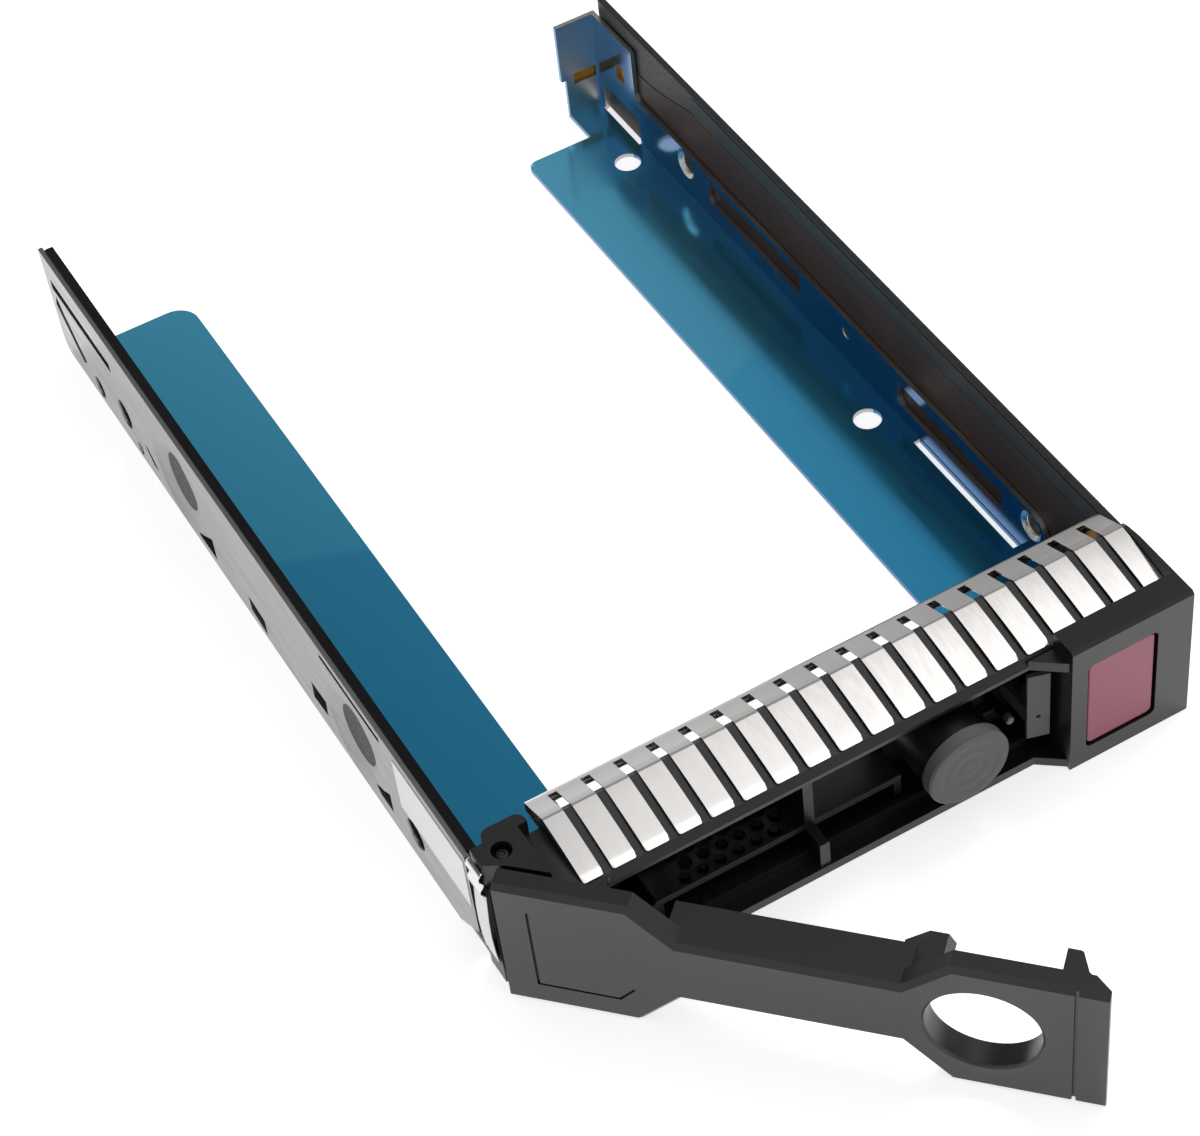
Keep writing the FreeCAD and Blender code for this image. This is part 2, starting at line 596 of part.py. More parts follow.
def wire_coil(mean, wire, pitch, turns):
    """Solid coil of eight sided wire round +Z that starts on +X."""
    path = Part.makeHelix(pitch, pitch * turns, mean)
    outward = Vector(1, 0, 0)
    upward = Vector(0, mean, pitch / (2 * math.pi)).normalize().cross(outward)
    corners = [Vector(mean, 0, 0) + outward * (wire * math.cos(math.radians(45 * i)))
               + upward * (wire * math.sin(math.radians(45 * i))) for i in range(8)]
    ring = Part.makePolygon(corners + corners[:1])
    return Part.Wire(path.Edges).makePipeShell([ring], True, True)


wire = d.coil_wire.value
coil = wire_coil(coil_mean, wire, coil_pitch, coil_turns)
coil.rotate(Vector(0, 0, 0), Vector(0, 0, 1), 180)
rise = coil_pitch / (2 * math.pi)
leg_long = back_in.value - d.pivot_deep.value - 0.1
wall_leg = Part.makeCylinder(wire, leg_long, Vector(-coil_mean, 0, 0), Vector(0, coil_mean, -rise))
leg_end = Vector(coil_mean * math.cos(leg_turn), coil_mean * math.sin(leg_turn), coil_pitch * coil_turns)
leg_way = Vector(-coil_mean * math.sin(leg_turn), coil_mean * math.cos(leg_turn), rise)
lever_leg = Part.makeCylinder(wire, 6.4, leg_end, leg_way)
lever_spring = doc.addObject("Part::Feature", "lever_spring")
lever_spring.Label = "lever_spring"
lever_spring.Shape = Part.makeCompound([coil, wall_leg, lever_leg])
lever_spring.Placement = Placement(
    Vector(hinge_x.value, d.pivot_deep.value, d.coil_low.value + 0.8), Rotation())
lever_spring.setExpression("Placement.Base.x", hinge_x.text)
lever_spring.setExpression("Placement.Base.y", "sizes.pivot_deep")

# Release button with its cam wedge, and the latch bar that the wedge moves

button = new_body("release_button")
cap_left, cap_right = well_left + d.button_gap, well_right - d.button_gap
cap_low, cap_high = d.well_low + d.button_gap, d.well_high - d.button_gap
pad(button, "XZ", 0.3, d.button_thick, [oblong(cap_left, cap_low, cap_right, cap_high)], "cap")
dress(button, "Fillet", 0.9, straight_edge(
    "Y", (cap_left, cap_low), (cap_right, cap_low), (cap_left, cap_high), (cap_right, cap_high)), "cap_corners")
dress(button, "Fillet", 0.25, lambda edge: all(abs(v.Point.y - 0.3) < 0.01 for v in edge.Vertexes), "cap_rim")
slot_floor = d.button_thick - d.button_slot
cut(button, "XZ", slot_floor, d.button_thick, [oblong(
    cap_left - 0.1, d.wedge_low - 0.3, cap_right + 0.1, slide_low + d.slide_high + 0.3)], "bar_slot")
wedge_sum = block_left + d.wedge_line
pad(button, "XY", d.wedge_low, d.wedge_low + d.wedge_high, [outline(
    (cap_left + 0.7, slot_floor - 0.1), (wedge_sum - slot_floor + 3.8, slot_floor - 0.1),
    (wedge_sum - 4.7, 8.4), (cap_left + 0.7, 8.4))], "cam_wedge")
spring_x = (cap_left + cap_right) / 2
pad(button, "XZ", d.button_thick - 0.1, d.button_thick + 1.4, [disc(spring_x, 7.0, 0.9)], "spring_post")

latch = new_body("latch_slider")
cam_line = wedge_sum + 4.0
bar_end = wedge_sum + 0.9
bar_back = d.slide_front + d.slide_thick
pad(latch, "XY", slide_low, slide_low + d.slide_high, [oblong(
    block_left - d.slide_reach, d.slide_front, bar_end, bar_back)], "bar")
pad(latch, "XY", d.wedge_low, slide_low + 0.1, [outline(
    (cam_line - d.slide_front, d.slide_front), (bar_end, d.slide_front), (bar_end, bar_back),
    (cam_line - bar_back, bar_back))], "cam_follower")

spring_room = d.well_deep.value - d.button_thick.value - 2 * wire
button_spring = doc.addObject("Part::Feature", "button_spring")
button_spring.Label = "button_spring"
button_spring.Shape = wire_coil(1.35, wire, spring_room / 3, 3)
button_spring.Placement = Placement(
    Vector(spring_x.value, d.button_thick.value + wire, 7.0), Rotation(Vector(1, 0, 0), -90))
button_spring.setExpression("Placement.Base.x", spring_x.text)

# Lenses, light guide, lamp board, lamps and the ribbon's socket

lens = new_body("indicator_lens")
lens_back = d.disc_thick - d.disc_front
pad(lens, "XZ", -d.disc_front, lens_back, [disc(disc_x, d.ring_high, d.disc_round)], "disc")
dress(lens, "Chamfer", 0.3, lambda edge: isinstance(edge.Curve, Part.Circle)
      and abs(edge.Vertexes[0].Point.y + d.disc_front.value) < 0.01, "disc_rim")
board_front = back_in - d.board_thick
lamp_front = board_front - d.lamp_thick
guide = new_body("light_guide")
pad(guide, "XZ", lens_back, lamp_front - 0.3, [disc(disc_x, d.ring_high, d.guide_round)], "guide")
pad(guide, "XZ", lamp_front - 0.3, board_front, [
    disc(disc_x, d.ring_high, d.guide_round), disc(disc_x, d.ring_high, d.guide_round - 1.6)], "guide_foot")

status = new_body("status_lens")
status_right = block_left - 1.0
pad(status, "XY", 5.2, 18.4, [outline(
    (status_right - 3.2, d.shelf_front + 0.5), (status_right, d.shelf_front - 0.5),
    (status_right, d.shelf_front + 0.3), (status_right - 3.0, d.shelf_front + 1.25))], "window")
pad(status, "XY", 5.2, 8.0, [outline(
    (status_right - 1.6, d.shelf_front + 0.6), (status_right, d.shelf_front + 0.1),
    (status_right, board_front), (status_right - 1.6, board_front))], "stem")
cut(status, "XZ", d.shelf_front - 1.0, d.shelf_front + 0.6, [disc(status_right - 1.6, 9.6, 0.35)], "sensor_spot")

pilot = new_body("pilot_lens")
pilot_x = block_left - 6.7
pad(pilot, "XZ", 5.0, lamp_front - 0.2, [disc(pilot_x, 10.4, 0.75)], "peg")
dress(pilot, "Fillet", 0.4, lambda edge: isinstance(edge.Curve, Part.Circle)
      and abs(edge.Vertexes[0].Point.y - 5.0) < 0.01, "peg_tip")

board = new_body("lamp_board")
pad(board, "XZ", board_front, back_in, [oblong(
    disc_x - 5.5, d.floor_thick + 0.3, block_left - 0.3, d.shelf_low - 0.3)], "board")

lamps = new_body("lamps")
pad(lamps, "XZ", lamp_front, board_front, [
    oblong(disc_x - 1.6, d.ring_high - 1.4, disc_x + 1.6, d.ring_high + 1.4)], "main_lamp")
pad_pilot = doc.addObject("Part::Box", "pilot_lamp")
pad_pilot.Length, pad_pilot.Width, pad_pilot.Height = 1.6, d.lamp_thick.value, 1.6
pad_pilot.setExpression("Width", "sizes.lamp_thick")
pad_pilot.Placement = Placement(Vector(pilot_x.value - 0.8, lamp_front.value, 9.6), Rotation())
pad_pilot.setExpression("Placement.Base.x", (pilot_x - 0.8).text)
pad_pilot.setExpression("Placement.Base.y", lamp_front.text)

socket = new_body("flex_socket")
pad(socket, "XZ", board_front - 2.0, board_front, [oblong(block_left - 9.9, 2.4, block_left - 3.9, 5.0)], "socket")
dress(socket, "Chamfer", 0.3, lambda edge: all(
    abs(v.Point.y - board_front.value + 2.0) < 0.01 for v in edge.Vertexes), "socket_rim")

# Finger strip: one bent section, slotted by a linear pattern

strip = new_body("finger_strip")
t = d.strip_thick
tip_high = d.shelf_lip + 0.12
crest_high = d.shelf_crest + 0.12
pad(strip, "YZ", strip_from, strip_to, [outline(
    (d.finger_front, tip_high), (d.crest_at - 0.05, crest_high), (d.fold_back - t, d.fold_high - t),
    (d.fold_back - t, d.fold_high - 1.5), (d.bezel_back, d.fold_high - 1.5),
    (d.bezel_back, 17.0), (d.bezel_back + t, 17.0), (d.bezel_back + t, d.fold_high - 1.5 - t),
    (d.fold_back, d.fold_high - 1.5 - t), (d.fold_back, d.fold_high), (d.crest_at, crest_high + t),
    (d.finger_front, tip_high + t))], "bent_sheet")
slot = cut(strip, "XY", d.shelf_low + 0.3, d.bezel_high + 1.0, [oblong(
    slot_from - d.slot_wide / 2, d.finger_front - 1.0, slot_from + d.slot_wide / 2,
    d.fold_back - 1.0)], "slot")
relief = cut(strip, "XY", d.shelf_low + 0.2, d.fold_high - 1.1, [oblong(
    slot_from - d.slot_wide / 2, d.bezel_back + t + 0.2, slot_from + 2.0, d.fold_back - 0.9)], "relief")
row = strip.newObject("PartDesign::LinearPattern", "slot_row")
row.Originals = [slot, relief]
row.Direction = (slot.Profile[0], ["H_Axis"])
row.Length = (d.finger_pitch * (d.finger_count - 2)).value
row.setExpression("Length", (d.finger_pitch * (d.finger_count - 2)).text)
row.Occurrences = int(d.finger_count.value) - 1
row.setExpression("Occurrences", (d.finger_count - 1).text)
strip.Tip = row

# Ground clip on the bezel's left end

clip = new_body("ground_clip")
c = d.clip_thick
shape = [(0.0, 24.4), (0.9, 23.3), (0.15, 22.0), (0.95, 20.7), (0.1, 19.3), (0.55, 11.0), (0.0, 1.2)]
near = [(-half - off, high) for off, high in shape]
far = [(-half - off - c, high) for off, high in reversed(shape)]
pad(clip, "XZ", 12.0, 17.2, [outline(*(near + far))], "clip")

# Left rail: sheet with wall and flange, pierced wall, front tab

left = new_body("left_rail")
wall_top = d.rail_high - d.lip_high
pad(left, "XZ", d.bezel_back, d.left_end, [outline(
    (-left_face, 0), (-d.flange_inner, 0), (-d.flange_inner, d.sheet_thick), (-left_sheet, d.sheet_thick),
    (-left_sheet, wall_top), (-left_face, wall_top))], "bent_sheet")
dress(left, "Fillet", 0.9, straight_edge("Y", (-left_face, 0)), "outer_bend")
cut(left, "XY", 0, d.sheet_thick, [outline(
    (-left_sheet, d.left_flange_end), (-d.flange_inner + 0.1, d.left_flange_end),
    (-d.flange_inner + 0.1, d.left_end + 0.1), (-left_sheet, d.left_end + 0.1))], "flange_end")
dress(left, "Fillet", 4.0, straight_edge("Z", (-d.flange_inner, d.left_flange_end)), "flange_corner")
cut(left, "YZ", -left_face, -left_sheet, [
    outline((d.bezel_back - 0.1, -0.1), (d.rail_front + 8.0, -0.1), (d.rail_front, 5.2), (d.rail_front, wall_top + 0.1),
            (d.bezel_back - 0.1, wall_top + 0.1)),
    outline((d.left_end - 2.6, -0.1), (d.left_end - 0.8, 0.9), (d.left_end - 0.1, 2.8), (d.left_end + 0.1, 2.8),
            (d.left_end + 0.1, -0.1))], "wall_ends")


def on_wall(*points):
    """Outline on the side wall, given from the first screw hole."""
    return outline(*[(d.hole_first + y, z) for y, z in points])


wall_cuts = [
    disc(d.hole_first, d.hole_high, d.screw_bore + 0.7), disc(hole_last, d.hole_high, d.screw_bore + 0.7),
    on_wall((103.2, 15.0), (126.8, 15.3), (126.8, 17.4), (103.2, 16.9)),
    on_wall((126.0, 14.2), (127.4, 11.4), (119.4, 4.6), (117.6, 5.8), (124.2, 11.8)),
    disc(d.hole_first + 113.4, 3.7, 2.0),
    disc(d.hole_first + 97.4, 2.9, 1.2),
    on_wall((94.2, 6.6), (92.8, 6.6), (89.6, 4.0), (91.6, 4.0)),
    on_wall((75.4, 2.6), (68.4, 2.6), (68.4, 7.2)),
    on_wall((55.8, 2.8), (55.8, 5.9), (50.4, 5.2), (50.4, 1.9)),
    on_wall((33.7, 4.0), (33.4, 7.8), (28.4, 8.0), (28.8, 4.4)),
    on_wall((13.9, 3.9), (7.8, 3.9), (7.8, 8.0)),
    on_wall((7.4, 19.8), (26.6, 19.9), (26.6, 20.9), (7.4, 20.8)),
]
cut(left, "YZ", -left_face, -left_sheet, wall_cuts, "wall_openings")
for label, place in (("dish_front", d.dish_front_at), ("dish_rear", d.dish_rear_at)):
    cone_cut(left, "YZ", -left_face, place, d.dish_high, d.dish_round, d.dish_round - d.dish_slope,
             d.sheet_thick, label)
pad(left, "XZ", d.bezel_back, d.bezel_back + d.sheet_thick, [oblong(
    -screw_far - 4.0, 0.1, -d.screw_near + 4.0, d.tab_high)], "front_tab")
cut(left, "XZ", d.bezel_back, d.bezel_back + d.sheet_thick, [
    disc(-d.screw_near, d.screw_high, d.screw_round + 0.1), disc(-screw_far, d.screw_high, d.screw_round + 0.1)],
    "tab_holes")

liner = new_body("left_liner")
pad(liner, "XZ", d.rail_front + 0.6, d.liner_end, [outline(
    (-left_sheet, d.sheet_thick), (-inner, d.sheet_thick), (-inner, d.rail_high), (-left_sheet, d.rail_high))],
    "liner")
cut(liner, "YZ", -left_sheet, -inner, [
    disc(d.hole_first, d.hole_high, d.screw_bore), disc(hole_last, d.hole_high, d.screw_bore)], "screw_holes")

# Right rail: low wall with windows, flange, tall rear part and end tab

right = new_body("right_rail")
pad(right, "XZ", d.bezel_back, d.right_end, [outline(
    (right_sheet, 0), (d.flange_inner, 0), (d.flange_inner, d.sheet_thick), (inner, d.sheet_thick),
    (inner, d.tall_high), (right_sheet, d.tall_high))], "bent_sheet")
dress(right, "Fillet", 0.9, straight_edge("Y", (right_sheet, 0)), "outer_bend")
wall_front = d.rail_front + 14.4
cut(right, "YZ", inner, right_sheet, [outline(
    (d.bezel_back - 0.1, 5.0), (wall_front - 0.6, 5.0), (wall_front + 0.2, 8.0), (wall_front + 1.8, 9.6),
    (wall_front + 4.6, d.right_low), (d.tall_from - 1.0, d.right_low), (d.tall_from, d.right_low + 1.0),
    (d.tall_from, d.tall_high + 0.1), (d.bezel_back - 0.1, d.tall_high + 0.1))], "low_wall")
tab_left = right_sheet - d.tab_wide
cut(right, "XY", 0, d.sheet_thick, [oblong(
    d.flange_inner - 0.1, d.right_flange_end, tab_left + 0.9, d.right_end + 0.1)], "flange_end")
pad(right, "XZ", d.right_end - d.sheet_thick, d.right_end, [outline(
    (tab_left + 0.9, 0.1), (right_sheet, 0.1), (right_sheet, d.tall_high), (tab_left, d.tall_high),
    (tab_left, 8.4), (tab_left + 0.9, 8.4))], "end_tab")
cut(right, "XZ", d.right_end - d.sheet_thick, d.right_end, [oblong(
    tab_left + 2.4, 7.0, right_sheet - 1.2, 9.2)], "tab_slot")
cut(right, "YZ", inner, right_sheet, [
    outline((44.5, 3.6), (72.0, 3.8), (73.0, 5.0), (73.0, 8.2), (44.5, 7.8)),
    outline((102.0, 4.6), (130.0, 4.4), (131.0, 5.4), (131.0, 8.6), (102.0, 9.2)),
    oblong(158.4, 10.8, 161.2, 14.2)], "wall_windows")
cut(right, "XY", 0, d.sheet_thick, [
    oblong(inner - 1.3, 39.4, inner - 0.1, 66.9),
    disc(d.mount_side, d.mount_first, d.mount_bore),
    disc(d.mount_side, d.mount_first + d.mount_pitch, d.mount_bore)], "flange_openings")
cut(right, "XY", 0, 6.0, [oblong(inner - 0.4, d.tall_from - 0.6, right_sheet + 0.1, d.right_end - 2.4)], "bend_slot")
cut(right, "YZ", inner, right_sheet, [
    disc(d.hole_first, d.hole_high, d.screw_bore), disc(hole_last, d.hole_high, d.screw_bore),
    disc(88.0, d.hole_high, 1.1)], "screw_holes")
for label, place in (("sink_front", d.hole_first), ("sink_rear", hole_last)):
    cone_cut(right, "YZ", inner, place, d.hole_high, d.sink_bore, d.screw_bore, d.sheet_thick * 0.75, label)
pad(right, "XZ", d.bezel_back, d.bezel_back + d.sheet_thick, [oblong(
    d.screw_near - 4.0, 0.1, screw_far + 4.0, d.tab_high)], "front_tab")
cut(right, "XZ", d.bezel_back, d.bezel_back + d.sheet_thick, [
    disc(d.screw_near, d.screw_high, d.screw_round + 0.1), disc(screw_far, d.screw_high, d.screw_round + 0.1)],
    "tab_holes")

# Side cover, ribbon, its guard and its contacts

cover = new_body("side_cover")
pad(cover, "XZ", d.bezel_back, d.cover_end, [oblong(cover_in, 0, cover_out, d.cover_high)], "cover")
dress(cover, "Fillet", 0.5, straight_edge("Y", (cover_out, d.cover_high)), "cover_edge")
pad(cover, "YZ", inner + 0.2, cover_in + 0.1, [disc(88.0, d.hole_high, 1.0)], "stake")
cut(cover, "YZ", cover_in, cover_out, [
    disc(d.hole_first, d.hole_high, d.screw_bore + 0.6), disc(hole_last, d.hole_high, d.screw_bore + 0.6)],
    "screw_holes")

ribbon = new_body("flex_ribbon")
ribbon_in = cover_in - d.ribbon_thick
pad(ribbon, "YZ", ribbon_in, cover_in, [outline(
    (d.rail_front + 1.0, 3.0), (150.0, 3.0), (156.0, 6.0), (d.right_end + d.ribbon_thick, 6.0),
    (d.right_end + d.ribbon_thick, 15.0), (158.0, 15.0), (148.0, 16.0), (142.0, 17.6),
    (d.ribbon_turn, d.ribbon_top), (d.rail_front + 1.0, d.ribbon_top))], "ribbon")
cut(ribbon, "YZ", ribbon_in, cover_in, [
    disc(d.hole_first, d.hole_high, d.screw_bore + 0.8), disc(hole_last, d.hole_high, d.screw_bore + 0.8),
    disc(88.0, d.hole_high, 1.2)], "ribbon_holes")
pad(ribbon, "XZ", d.right_end, d.right_end + d.ribbon_thick, [oblong(
    tab_left + 1.6, 6.0, cover_in, 15.0)], "ribbon_tail")

guard = new_body("ribbon_guard")
pad(guard, "YZ", ribbon_in, cover_in, [outline(
    (d.fold_back + 0.3, d.ribbon_top + 0.1), (d.ribbon_turn - 1.0, d.ribbon_top + 0.1),
    (d.ribbon_turn + 0.6, 20.4), (d.ribbon_turn + 0.6, 21.4), (d.ribbon_turn - 1.2, d.cover_high - 0.4),
    (d.fold_back + 0.3, d.cover_high - 0.4))], "guard")

contacts = new_body("rear_contacts")
tail = d.right_end + d.ribbon_thick
contact = pad(contacts, "XZ", tail, tail + 0.1, [oblong(
    tab_left + 2.0, 7.0, tab_left + 2.8, 14.0)], "contact")
contact_row = contacts.newObject("PartDesign::LinearPattern", "contact_row")
contact_row.Originals = [contact]
contact_row.Direction = (contact.Profile[0], ["H_Axis"])
contact_row.Length = 4.8
contact_row.Occurrences = 5
contacts.Tip = contact_row

# Rail screws


def rail_screws(name, side):
    """Two cap screws that hold a rail's front tab to the bezel."""
    shank_from, head_from = back_in + 0.1, d.bezel_back + d.sheet_thick
    solids = []
    for number, distance in enumerate((d.screw_near, screw_far)):
        shank = doc.addObject("Part::Cylinder", "%s_shank_%d" % (name, number))
        head = doc.addObject("Part::Cylinder", "%s_head_%d" % (name, number))
        x = distance * side
        for piece, radius, length, start in ((shank, d.screw_round, head_from - shank_from, shank_from),
                                             (head, d.head_round, d.head_thick, head_from)):
            piece.Radius = radius.value
            piece.setExpression("Radius", radius.text)
            piece.Height = length.value
            piece.setExpression("Height", length.text)
            piece.Placement = Placement(Vector(x.value, start.value, d.screw_high.value),
                                        Rotation(Vector(1, 0, 0), -90))
            piece.setExpression("Placement.Base.x", x.text)
            piece.setExpression("Placement.Base.y", start.text)
            piece.setExpression("Placement.Base.z", d.screw_high.text)
        solids += [shank, head]
    whole = doc.addObject("Part::MultiFuse", name)
    whole.Shapes = solids
    whole.Label = name
    return whole


left_screws = rail_screws("left_rail_screws", -1)
right_screws = rail_screws("right_rail_screws", 1)

lamp_group = doc.addObject("Part::MultiFuse", "lamp_set")
lamp_group.Shapes = [lamps, pad_pilot]

# Label on the left wall

label = new_body("side_label")
pad(label, "YZ", -left_face - d.label_thick, -left_face, [outline(
    (d.rail_front + 0.8, 10.2), (d.rail_front + 21.8, 10.2), (d.rail_front + 21.8, 20.4),
    (d.rail_front + 0.8, 20.4))], "label")

doc.recompute()

NODES = {
    "front_bezel": bezel, "lever": lever, "hinge_pin": pin, "lever_spring": lever_spring,
    "release_button": button, "button_spring": button_spring, "latch_slider": latch,
    "finger_strip": strip, "ground_clip": clip, "indicator_lens": lens, "light_guide": guide,
    "status_lens": status, "pilot_lens": pilot, "lamp_board": board, "lamps": lamp_group,
    "flex_socket": socket, "left_rail": left, "left_liner": liner, "right_rail": right,
    "side_cover": cover, "flex_ribbon": ribbon, "ribbon_guard": guard, "rear_contacts": contacts,
    "left_rail_screws": left_screws, "right_rail_screws": right_screws, "side_label": label,
}

for item in doc.Objects:
    if "Invalid" in item.State or "Error" in item.State:
        raise RuntimeError("%s is %s" % (item.Name, item.State))
for name, item in NODES.items():
    if item.Shape.isNull() or not item.Shape.isValid():
        raise RuntimeError("%s has a bad shape" % name)
    item.Shape.exportStep("parts/%s.step" % name)
    box = item.Shape.BoundBox
    print("%-18s solids %d volume %8.1f  x %.1f..%.1f y %.1f..%.1f z %.1f..%.1f" % (
        name, len(item.Shape.Solids), item.Shape.Volume, box.XMin, box.XMax, box.YMin, box.YMax,
        box.ZMin, box.ZMax))
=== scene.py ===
# %% [markdown]
# # A hot swap drive caddy, dressed for the studio
#
# The caddy is a tray without a middle: two bent steel rails, a moulded black bezel that joins them, a row
# of spring fingers along the top and an ejector lever that stands open. The solids come from the CAD
# frame. This lesson keeps those solids where they are right, softens the moulded ones so that their edges
# catch light, builds the thin and bright parts anew, and gives every surface a material made of nodes.

# %% Load the frame
import bpy
import bmesh
import math
from mathutils import Matrix, Vector


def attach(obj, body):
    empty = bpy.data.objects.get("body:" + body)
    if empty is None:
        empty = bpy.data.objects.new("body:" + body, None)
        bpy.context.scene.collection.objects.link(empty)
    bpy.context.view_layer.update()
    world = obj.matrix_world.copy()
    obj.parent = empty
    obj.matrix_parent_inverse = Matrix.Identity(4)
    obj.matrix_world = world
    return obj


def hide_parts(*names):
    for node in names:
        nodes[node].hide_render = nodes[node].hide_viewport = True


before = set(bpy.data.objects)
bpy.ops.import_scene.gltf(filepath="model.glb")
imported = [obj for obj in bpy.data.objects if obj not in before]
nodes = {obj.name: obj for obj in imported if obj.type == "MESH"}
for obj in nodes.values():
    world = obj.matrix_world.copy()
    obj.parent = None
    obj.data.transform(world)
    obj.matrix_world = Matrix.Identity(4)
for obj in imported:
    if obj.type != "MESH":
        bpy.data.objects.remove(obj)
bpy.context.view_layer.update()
scene = bpy.context.scene
MM = 0.001

# %% [markdown]
# ## The camera
#
# A photograph of a flat thing on a table is mostly described by three turns: how far the camera walked
# round, how far it looks down, and how much it rolled. They could be guessed by eye, but the two edges of
# the bezel, the rails and the upright corners gave enough straight lines to solve for them. The lens shift
# puts the picture's middle where the photograph has it.

# %% Camera
TURN, TILT, ROLL = -0.442, 0.727, -0.118
CAMERA_PLACE = (-0.13618, -0.2279, 0.35398)
FOCAL_LENGTH, SENSOR_WIDTH = 94.517, 36.0
SHIFT_X, SHIFT_Y = -0.05457, 0.04661

camera_data = bpy.data.cameras.new("studio_camera")
camera = bpy.data.objects.new("studio_camera", camera_data)
scene.collection.objects.link(camera)
aim = Matrix.Rotation(TURN, 4, "Z") @ Matrix.Rotation(TILT, 4, "X") @ Matrix.Rotation(ROLL, 4, "Z")
camera.matrix_world = Matrix.Translation(CAMERA_PLACE) @ aim
camera_data.sensor_width = SENSOR_WIDTH
camera_data.lens = FOCAL_LENGTH
camera_data.shift_x, camera_data.shift_y = SHIFT_X, SHIFT_Y
camera_data.clip_start, camera_data.clip_end = 0.01, 20
scene.camera = camera
print("camera at", [round(c, 3) for c in camera.location])

# %% [markdown]
# ## Node helpers
#
# Almost every finish here is one Principled shader with two noises behind it: a broad one that varies the
# colour a little, and a fine one that varies the gloss and is also the grain for the bump. Writing those
# links out for each material would hide what differs between them, so small helpers wire them and each
# finish below states only its own numbers. Object coordinates are used, because these solids have no UV
# map.


# %% Helpers for materials
def new_material(name):
    """An empty material, its node tree and its output."""
    material = bpy.data.materials.new(name)
    material.use_nodes = True
    tree = material.node_tree
    tree.nodes.clear()
    output = tree.nodes.new("ShaderNodeOutputMaterial")
    return material, tree, output


def feed(tree, slot, value):
    """Link a socket into a slot, or write a plain value there."""
    if isinstance(value, bpy.types.NodeSocket):
        tree.links.new(value, slot)
    else:
        slot.default_value = value


def noise(tree, scale, detail=3.0, stretch=(1, 1, 1)):
    """Noise in the object's own coordinates, stretched where the real grain has a direction."""
    place = tree.nodes.new("ShaderNodeTexCoord")
    spread = tree.nodes.new("ShaderNodeMapping")
    spread.inputs["Scale"].default_value = stretch
    grain = tree.nodes.new("ShaderNodeTexNoise")
    grain.inputs["Scale"].default_value = scale
    grain.inputs["Detail"].default_value = detail
    tree.links.new(place.outputs["Object"], spread.inputs["Vector"])
    tree.links.new(spread.outputs["Vector"], grain.inputs["Vector"])
    return grain.outputs["Fac"]


def remap(tree, value, low, high, new_low, new_high):
    """Turn a value between two levels into another span."""
    span = tree.nodes.new("ShaderNodeMapRange")
    for key, number in zip(("From Min", "From Max", "To Min", "To Max"), (low, high, new_low, new_high)):
        span.inputs[key].default_value = number
    tree.links.new(value, span.inputs["Value"])
    return span.outputs["Result"]


def tint(tree, value, first, second):
    """Blend two colours by a value."""
    ramp = tree.nodes.new("ShaderNodeValToRGB")
    for element, place, colour in zip(ramp.color_ramp.elements, (0.3, 0.7), (first, second)):
        element.position, element.color = place, (*colour, 1)
    tree.links.new(value, ramp.inputs["Fac"])
    return ramp.outputs["Color"]


def sum_of(tree, kind, first, second, clamp=False):
    """One sum, such as ADD or MULTIPLY, on two sockets or numbers."""
    step = tree.nodes.new("ShaderNodeMath")
    step.operation = kind
    step.use_clamp = clamp
    feed(tree, step.inputs[0], first)
    feed(tree, step.inputs[1], second)
    return step.outputs[0]


def mixed(tree, kind, factor, first, second):
    """Lay a second colour over a first one, plainly (MIX) or as a filter (MULTIPLY)."""
    mix = tree.nodes.new("ShaderNodeMix")
    mix.data_type = "RGBA"
    mix.blend_type = kind
    for key, value in (("Factor", factor), ("A", first), ("B", second)):
        feed(tree, mix.inputs[key], value)
    return mix.outputs["Result"]


# %% [markdown]
# ### One helper for a whole finish
#
# Three more helpers stand on these. The first makes a whole finish from its two colours and its gloss. The
# second turns a place on the object into a value from 0 to 1, and the third uses such a value to lay
# another colour over a finish. A texture painted by hand could change a colour along a part as well, but a
# place in metres stays sharp however near the camera comes.


# %% Helpers for whole finishes
NOISE_SPAN = (0.3, 0.7)
GRAIN_STRENGTH = 0.35


def finish(name, first, second, metallic=0.0, rough=(0.4, 0.5), cloud=60, grain=2500, height=0.00002,
           stretch=(1, 1, 1), coat=0.0, coat_rough=0.1, ior=1.5, shine=0.5):
    """A surface with clouded colour, uneven gloss and a fine grain."""
    material, tree, output = new_material(name)
    shader = tree.nodes.new("ShaderNodeBsdfPrincipled")
    for key, value in (("Metallic", metallic), ("IOR", ior), ("Specular IOR Level", shine),
                       ("Coat Weight", coat), ("Coat Roughness", coat_rough)):
        shader.inputs[key].default_value = value
    clouds = noise(tree, cloud, 4.0)
    tree.links.new(tint(tree, clouds, first, second), shader.inputs["Base Color"])
    fine = noise(tree, grain, 2.0, stretch)
    tree.links.new(remap(tree, fine, *NOISE_SPAN, *rough), shader.inputs["Roughness"])
    bump = tree.nodes.new("ShaderNodeBump")
    bump.inputs["Strength"].default_value = GRAIN_STRENGTH
    bump.inputs["Distance"].default_value = height
    tree.links.new(fine, bump.inputs["Height"])
    tree.links.new(bump.outputs["Normal"], shader.inputs["Normal"])
    tree.links.new(shader.outputs["BSDF"], output.inputs["Surface"])
    return material


def by_place(tree, axis, low, high):
    """0 at the first place and 1 at the second, in metres along an axis of the object."""
    place = tree.nodes.new("ShaderNodeTexCoord")
    split = tree.nodes.new("ShaderNodeSeparateXYZ")
    tree.links.new(place.outputs["Object"], split.inputs["Vector"])
    return remap(tree, split.outputs[axis], low, high, 0.0, 1.0)


def overlay(material, colour, factor):
    """Lay a second colour over a finish, as far as the factor says."""
    tree = material.node_tree
    base = tree.nodes["Principled BSDF"].inputs["Base Color"]
    under = base.links[0].from_socket
    tree.links.new(mixed(tree, "MIX", factor, under, (*colour, 1)), base)


